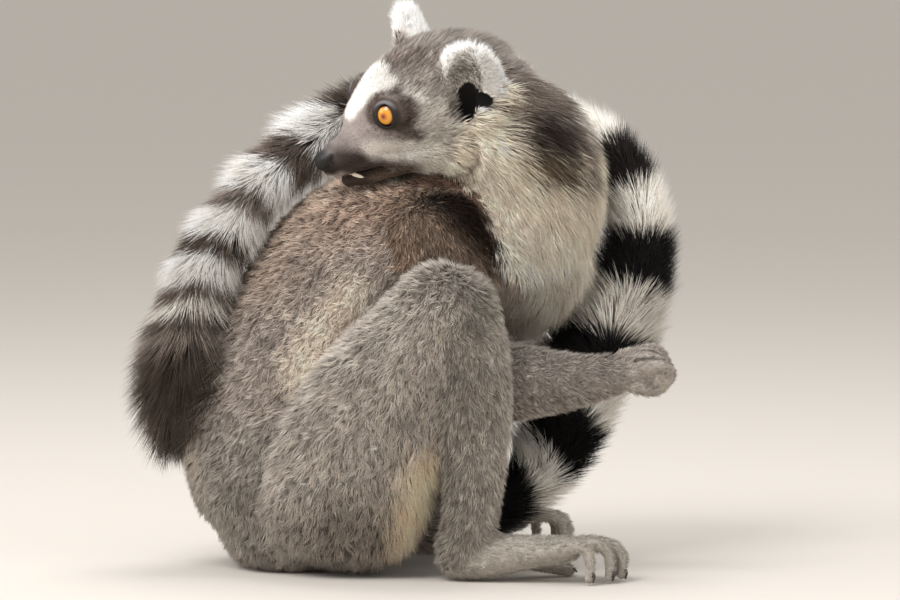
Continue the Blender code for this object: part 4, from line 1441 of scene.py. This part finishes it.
high = face_middle[:, 2] > 105
face_behind = in_head(face_middle)[:, 0]
along_tail = along_of[triangles[:, 0]]
PIECES = [
    ("coat_back", "body_fur", ["trunk"], high),
    ("coat_rump", "body_fur", ["trunk"], ~high),
    ("coat_thigh_right", "body_fur", ["thigh_right"], True),
    ("coat_thigh_left", "body_fur", ["thigh_left"], True),
    ("coat_shins", "pale_grey_fur", ["shin_right", "shin_left"], True),
    ("coat_feet", "pale_grey_fur", ["foot_right", "foot_left"], True),
    ("coat_upper_arms", "body_fur", ["upper_arm_right", "upper_arm_left"], True),
    ("coat_forearms", "pale_grey_fur", ["forearm_right", "forearm_left"], True),
    ("coat_hands", "pale_grey_fur", ["hand_right", "hand_left"], True),
    ("coat_ruff", "white_fur", ["neck"], True),
    ("coat_face", "pale_grey_fur", ["head", "jaw"], face_behind < 38),
    ("coat_crown", "pale_grey_fur", ["head", "jaw"], face_behind >= 38),
    ("coat_ears", "white_fur", ["ear_left", "ear_right"], True),
    ("coat_tail_front", "tail_fur", ["tail"], along_tail < 320),
    ("coat_tail_back", "tail_fur", ["tail"], along_tail >= 320),
]
coat = [coat_piece(name, faces_on(names, test)) for name, slot, names, test in PIECES]
print("coat triangles:", sum(triangles_of(piece) for piece in coat))

# %% [markdown]
# ## The eyes
# Each eye is a ball with a clear bulge in front, the cornea. The iris is amber with fine fibres
# running out from a small pupil, and a dark ring closes it. The pattern is drawn by the distance
# from the middle of the eye, on a flat map square to the gaze.

# %% Eyeballs
CORNEA_RADIUS, CORNEA_RISE = 5.35, 0.75
EYE_MAP = 20  # millimetres across the eye's map
IRIS_MAP = 8.0  # millimetres from the middle of the eye to the end of its colours
IRIS_SHADES = [  # millimetres from the middle, colour
    (0.9, "#6a2a08"), (1.35, "#94470f"), (2.1, "#c97a1c"), (3.2, "#e69a2c"), (4.3, "#e0a040"),
    (4.9, "#9a5a1c"), (5.4, "#1c120c"), (7.9, "#120c09"),
]


def eyeball(name, side):
    centre, gaze, across, rise = gaze_axes(side)
    bm = bmesh.new()
    bmesh.ops.create_uvsphere(bm, u_segments=64, v_segments=48, radius=BALL_RADIUS)
    layer = bm.loops.layers.uv.new("gaze")
    for vert in bm.verts:
        off_axis = math.hypot(vert.co.x, vert.co.y)
        if vert.co.z > 0 and off_axis < CORNEA_RADIUS:
            vert.co.z += CORNEA_RISE * (1 - (off_axis / CORNEA_RADIUS) ** 2)
    for face in bm.faces:
        for loop in face.loops:
            loop[layer].uv = (loop.vert.co.x / EYE_MAP + 0.5, loop.vert.co.y / EYE_MAP + 0.5)
    bm.transform(Matrix.Translation(centre) @ turned(across, rise, gaze))
    bmesh.ops.recalc_face_normals(bm, faces=bm.faces)
    piece = new_object(name, bm)
    piece.data.shade_smooth()
    piece.data.materials.append(EYE)
    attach(piece, "root")
    return piece


# %% Eye: a wet clear surface over an amber iris
def set_stops(ramp, stops):
    """Gives a ramp hex colours at places from 0 to 1."""
    elements = ramp.color_ramp.elements
    while len(elements) < len(stops):
        elements.new(0.5)
    for element, (where, shade) in zip(elements, stops):
        element.position = where
        element.color = (*linear(shade), 1)


def eye_material():
    material, tree, shader = new_material(
        "eye", Roughness=0.25, IOR=1.38, Coat_Weight=0.7, Coat_Roughness=0.03)
    flat = add(tree, "ShaderNodeUVMap", [("uv_map", "gaze")]).outputs["UV"]
    to_middle = [("Location", (-EYE_MAP / 2, -EYE_MAP / 2, 0)), ("Scale", (EYE_MAP, EYE_MAP, 1))]
    spot = add(tree, "ShaderNodeMapping", to_middle, Vector=flat).outputs["Vector"]
    reach = add(tree, "ShaderNodeVectorMath", [("operation", "LENGTH")], Vector=spot)
    way = add(tree, "ShaderNodeVectorMath", [("operation", "NORMALIZE")], Vector=spot)
    fine = [("Scale", 9), ("Detail", 4), ("Roughness", 0.7)]
    fibres = add(tree, "ShaderNodeTexNoise", fine, Vector=way.outputs["Vector"])
    uneven = add(tree, "ShaderNodeMath", [("operation", "MULTIPLY_ADD")])
    tree.links.new(fibres.outputs["Fac"], uneven.inputs[0])
    uneven.inputs[1].default_value = 0.9
    tree.links.new(reach.outputs["Value"], uneven.inputs[2])
    scaled = add(tree, "ShaderNodeMath", [("operation", "DIVIDE")])
    tree.links.new(uneven.outputs["Value"], scaled.inputs[0])
    scaled.inputs[1].default_value = IRIS_MAP
    ramp = add(tree, "ShaderNodeValToRGB", Fac=scaled.outputs["Value"])
    set_stops(ramp, [(where / IRIS_MAP, shade) for where, shade in IRIS_SHADES])
    link(shader, Base_Color=ramp.outputs["Color"])
    return material


EYE = eye_material()
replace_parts(eyeball("eyeball_left", 1), "eye_left")
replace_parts(eyeball("eyeball_right", -1), "eye_right")
print("eyeball radius:", round(BALL_RADIUS, 2), "mm")

# %% [markdown]
# ## Nails and teeth
# Lemurs have flat nails like ours, dark and a little curved. The six lower front teeth lean
# forward as a fine comb, which shows as a pale point between the lips.


# %% Nails: horn, smooth and dark, a little worn
def horn_or_enamel(name, base, dark, size, roughness):
    material, tree, shader = new_material(name, Roughness=roughness, IOR=1.55)
    place = add(tree, "ShaderNodeTexCoord").outputs["Object"]
    grain = [("Scale", 1 / (size * MM)), ("Detail", 4)]
    streaks = add(tree, "ShaderNodeTexNoise", grain, Vector=place).outputs["Fac"]
    ramp = add(tree, "ShaderNodeValToRGB", Fac=streaks)
    set_stops(ramp, [(0.3, dark), (0.7, base)])
    bump = add(tree, "ShaderNodeBump", [("Strength", 0.3), ("Distance", 0.05 * MM)], Height=streaks)
    link(shader, Base_Color=ramp.outputs["Color"], Normal=bump.outputs["Normal"])
    return material


NAIL_SIZES = ((2.0, 0.9), (1.9, 0.8), (1.2, 0.45))  # half width and half thickness, from root to tip
NAIL_GAP = 0.2 * MM
bm = bmesh.new()
for side, back in FEET:
    place = foot_place(side, back)
    for *rest, before, tip in (*TOES, GREAT_TOE):
        before, tip = Vector(before), Vector(tip)
        way = (tip - before).normalized()
        base = tip - way * 2.5 + Vector((1.6, 0, 0.8))
        front = tip + way * 1.2 + Vector((2.6, 0, -0.2))
        middle = (base + front) / 2 + Vector((0.7, 0, 0.5))
        path = [(*place(*point), *size) for point, size in zip((base, middle, front), NAIL_SIZES)]
        loft(bm, path, steps=3, sides=12)
nails = new_object("nails", bm)
for vert in nails.data.vertices:
    vert.co.z = max(vert.co.z, NAIL_GAP)
nails.data.shade_smooth()
nails.data.materials.append(horn_or_enamel("nail_horn", "#4a3f39", "#29211d", 1.5, 0.35))
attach(nails, "root")
print("nails:", triangles_of(nails), "triangles")

# %% Teeth: enamel, pale and glossy
TOOTH = [(16.5, -12.4, 0.42, 0.7), (14.4, -11.2, 0.42, 0.6), (12.6, -10.0, 0.3, 0.3)]
TOOTH_ROWS = [(i - 2.5) * 0.85 for i in range(6)]
OUTER_TOOTH = [(18, 5.3, -12.9, 0.3, 0.3), (16, 4.7, -11.6, 0.75, 0.9), (13.8, 3.9, -10.1, 0.8, 1.0)]
bm = bmesh.new()
for row in TOOTH_ROWS:
    head_loft(bm, [(a, row, *rest) for a, *rest in TOOTH], steps=3, sides=10)
for side in (1, -1):
    path = [(*on_head(a, b * side, c), w, h) for a, b, c, w, h in OUTER_TOOTH]
    loft(bm, path, side=LEFT, steps=3, sides=12)
comb = new_object("lower_teeth", bm)
comb.data.shade_smooth()
comb.data.materials.append(horn_or_enamel("tooth_enamel", "#efe7d6", "#d9ccb2", 1.2, 0.2))
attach(comb, "root")
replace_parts(comb, "tooth_comb")
print("teeth:", triangles_of(comb), "triangles")
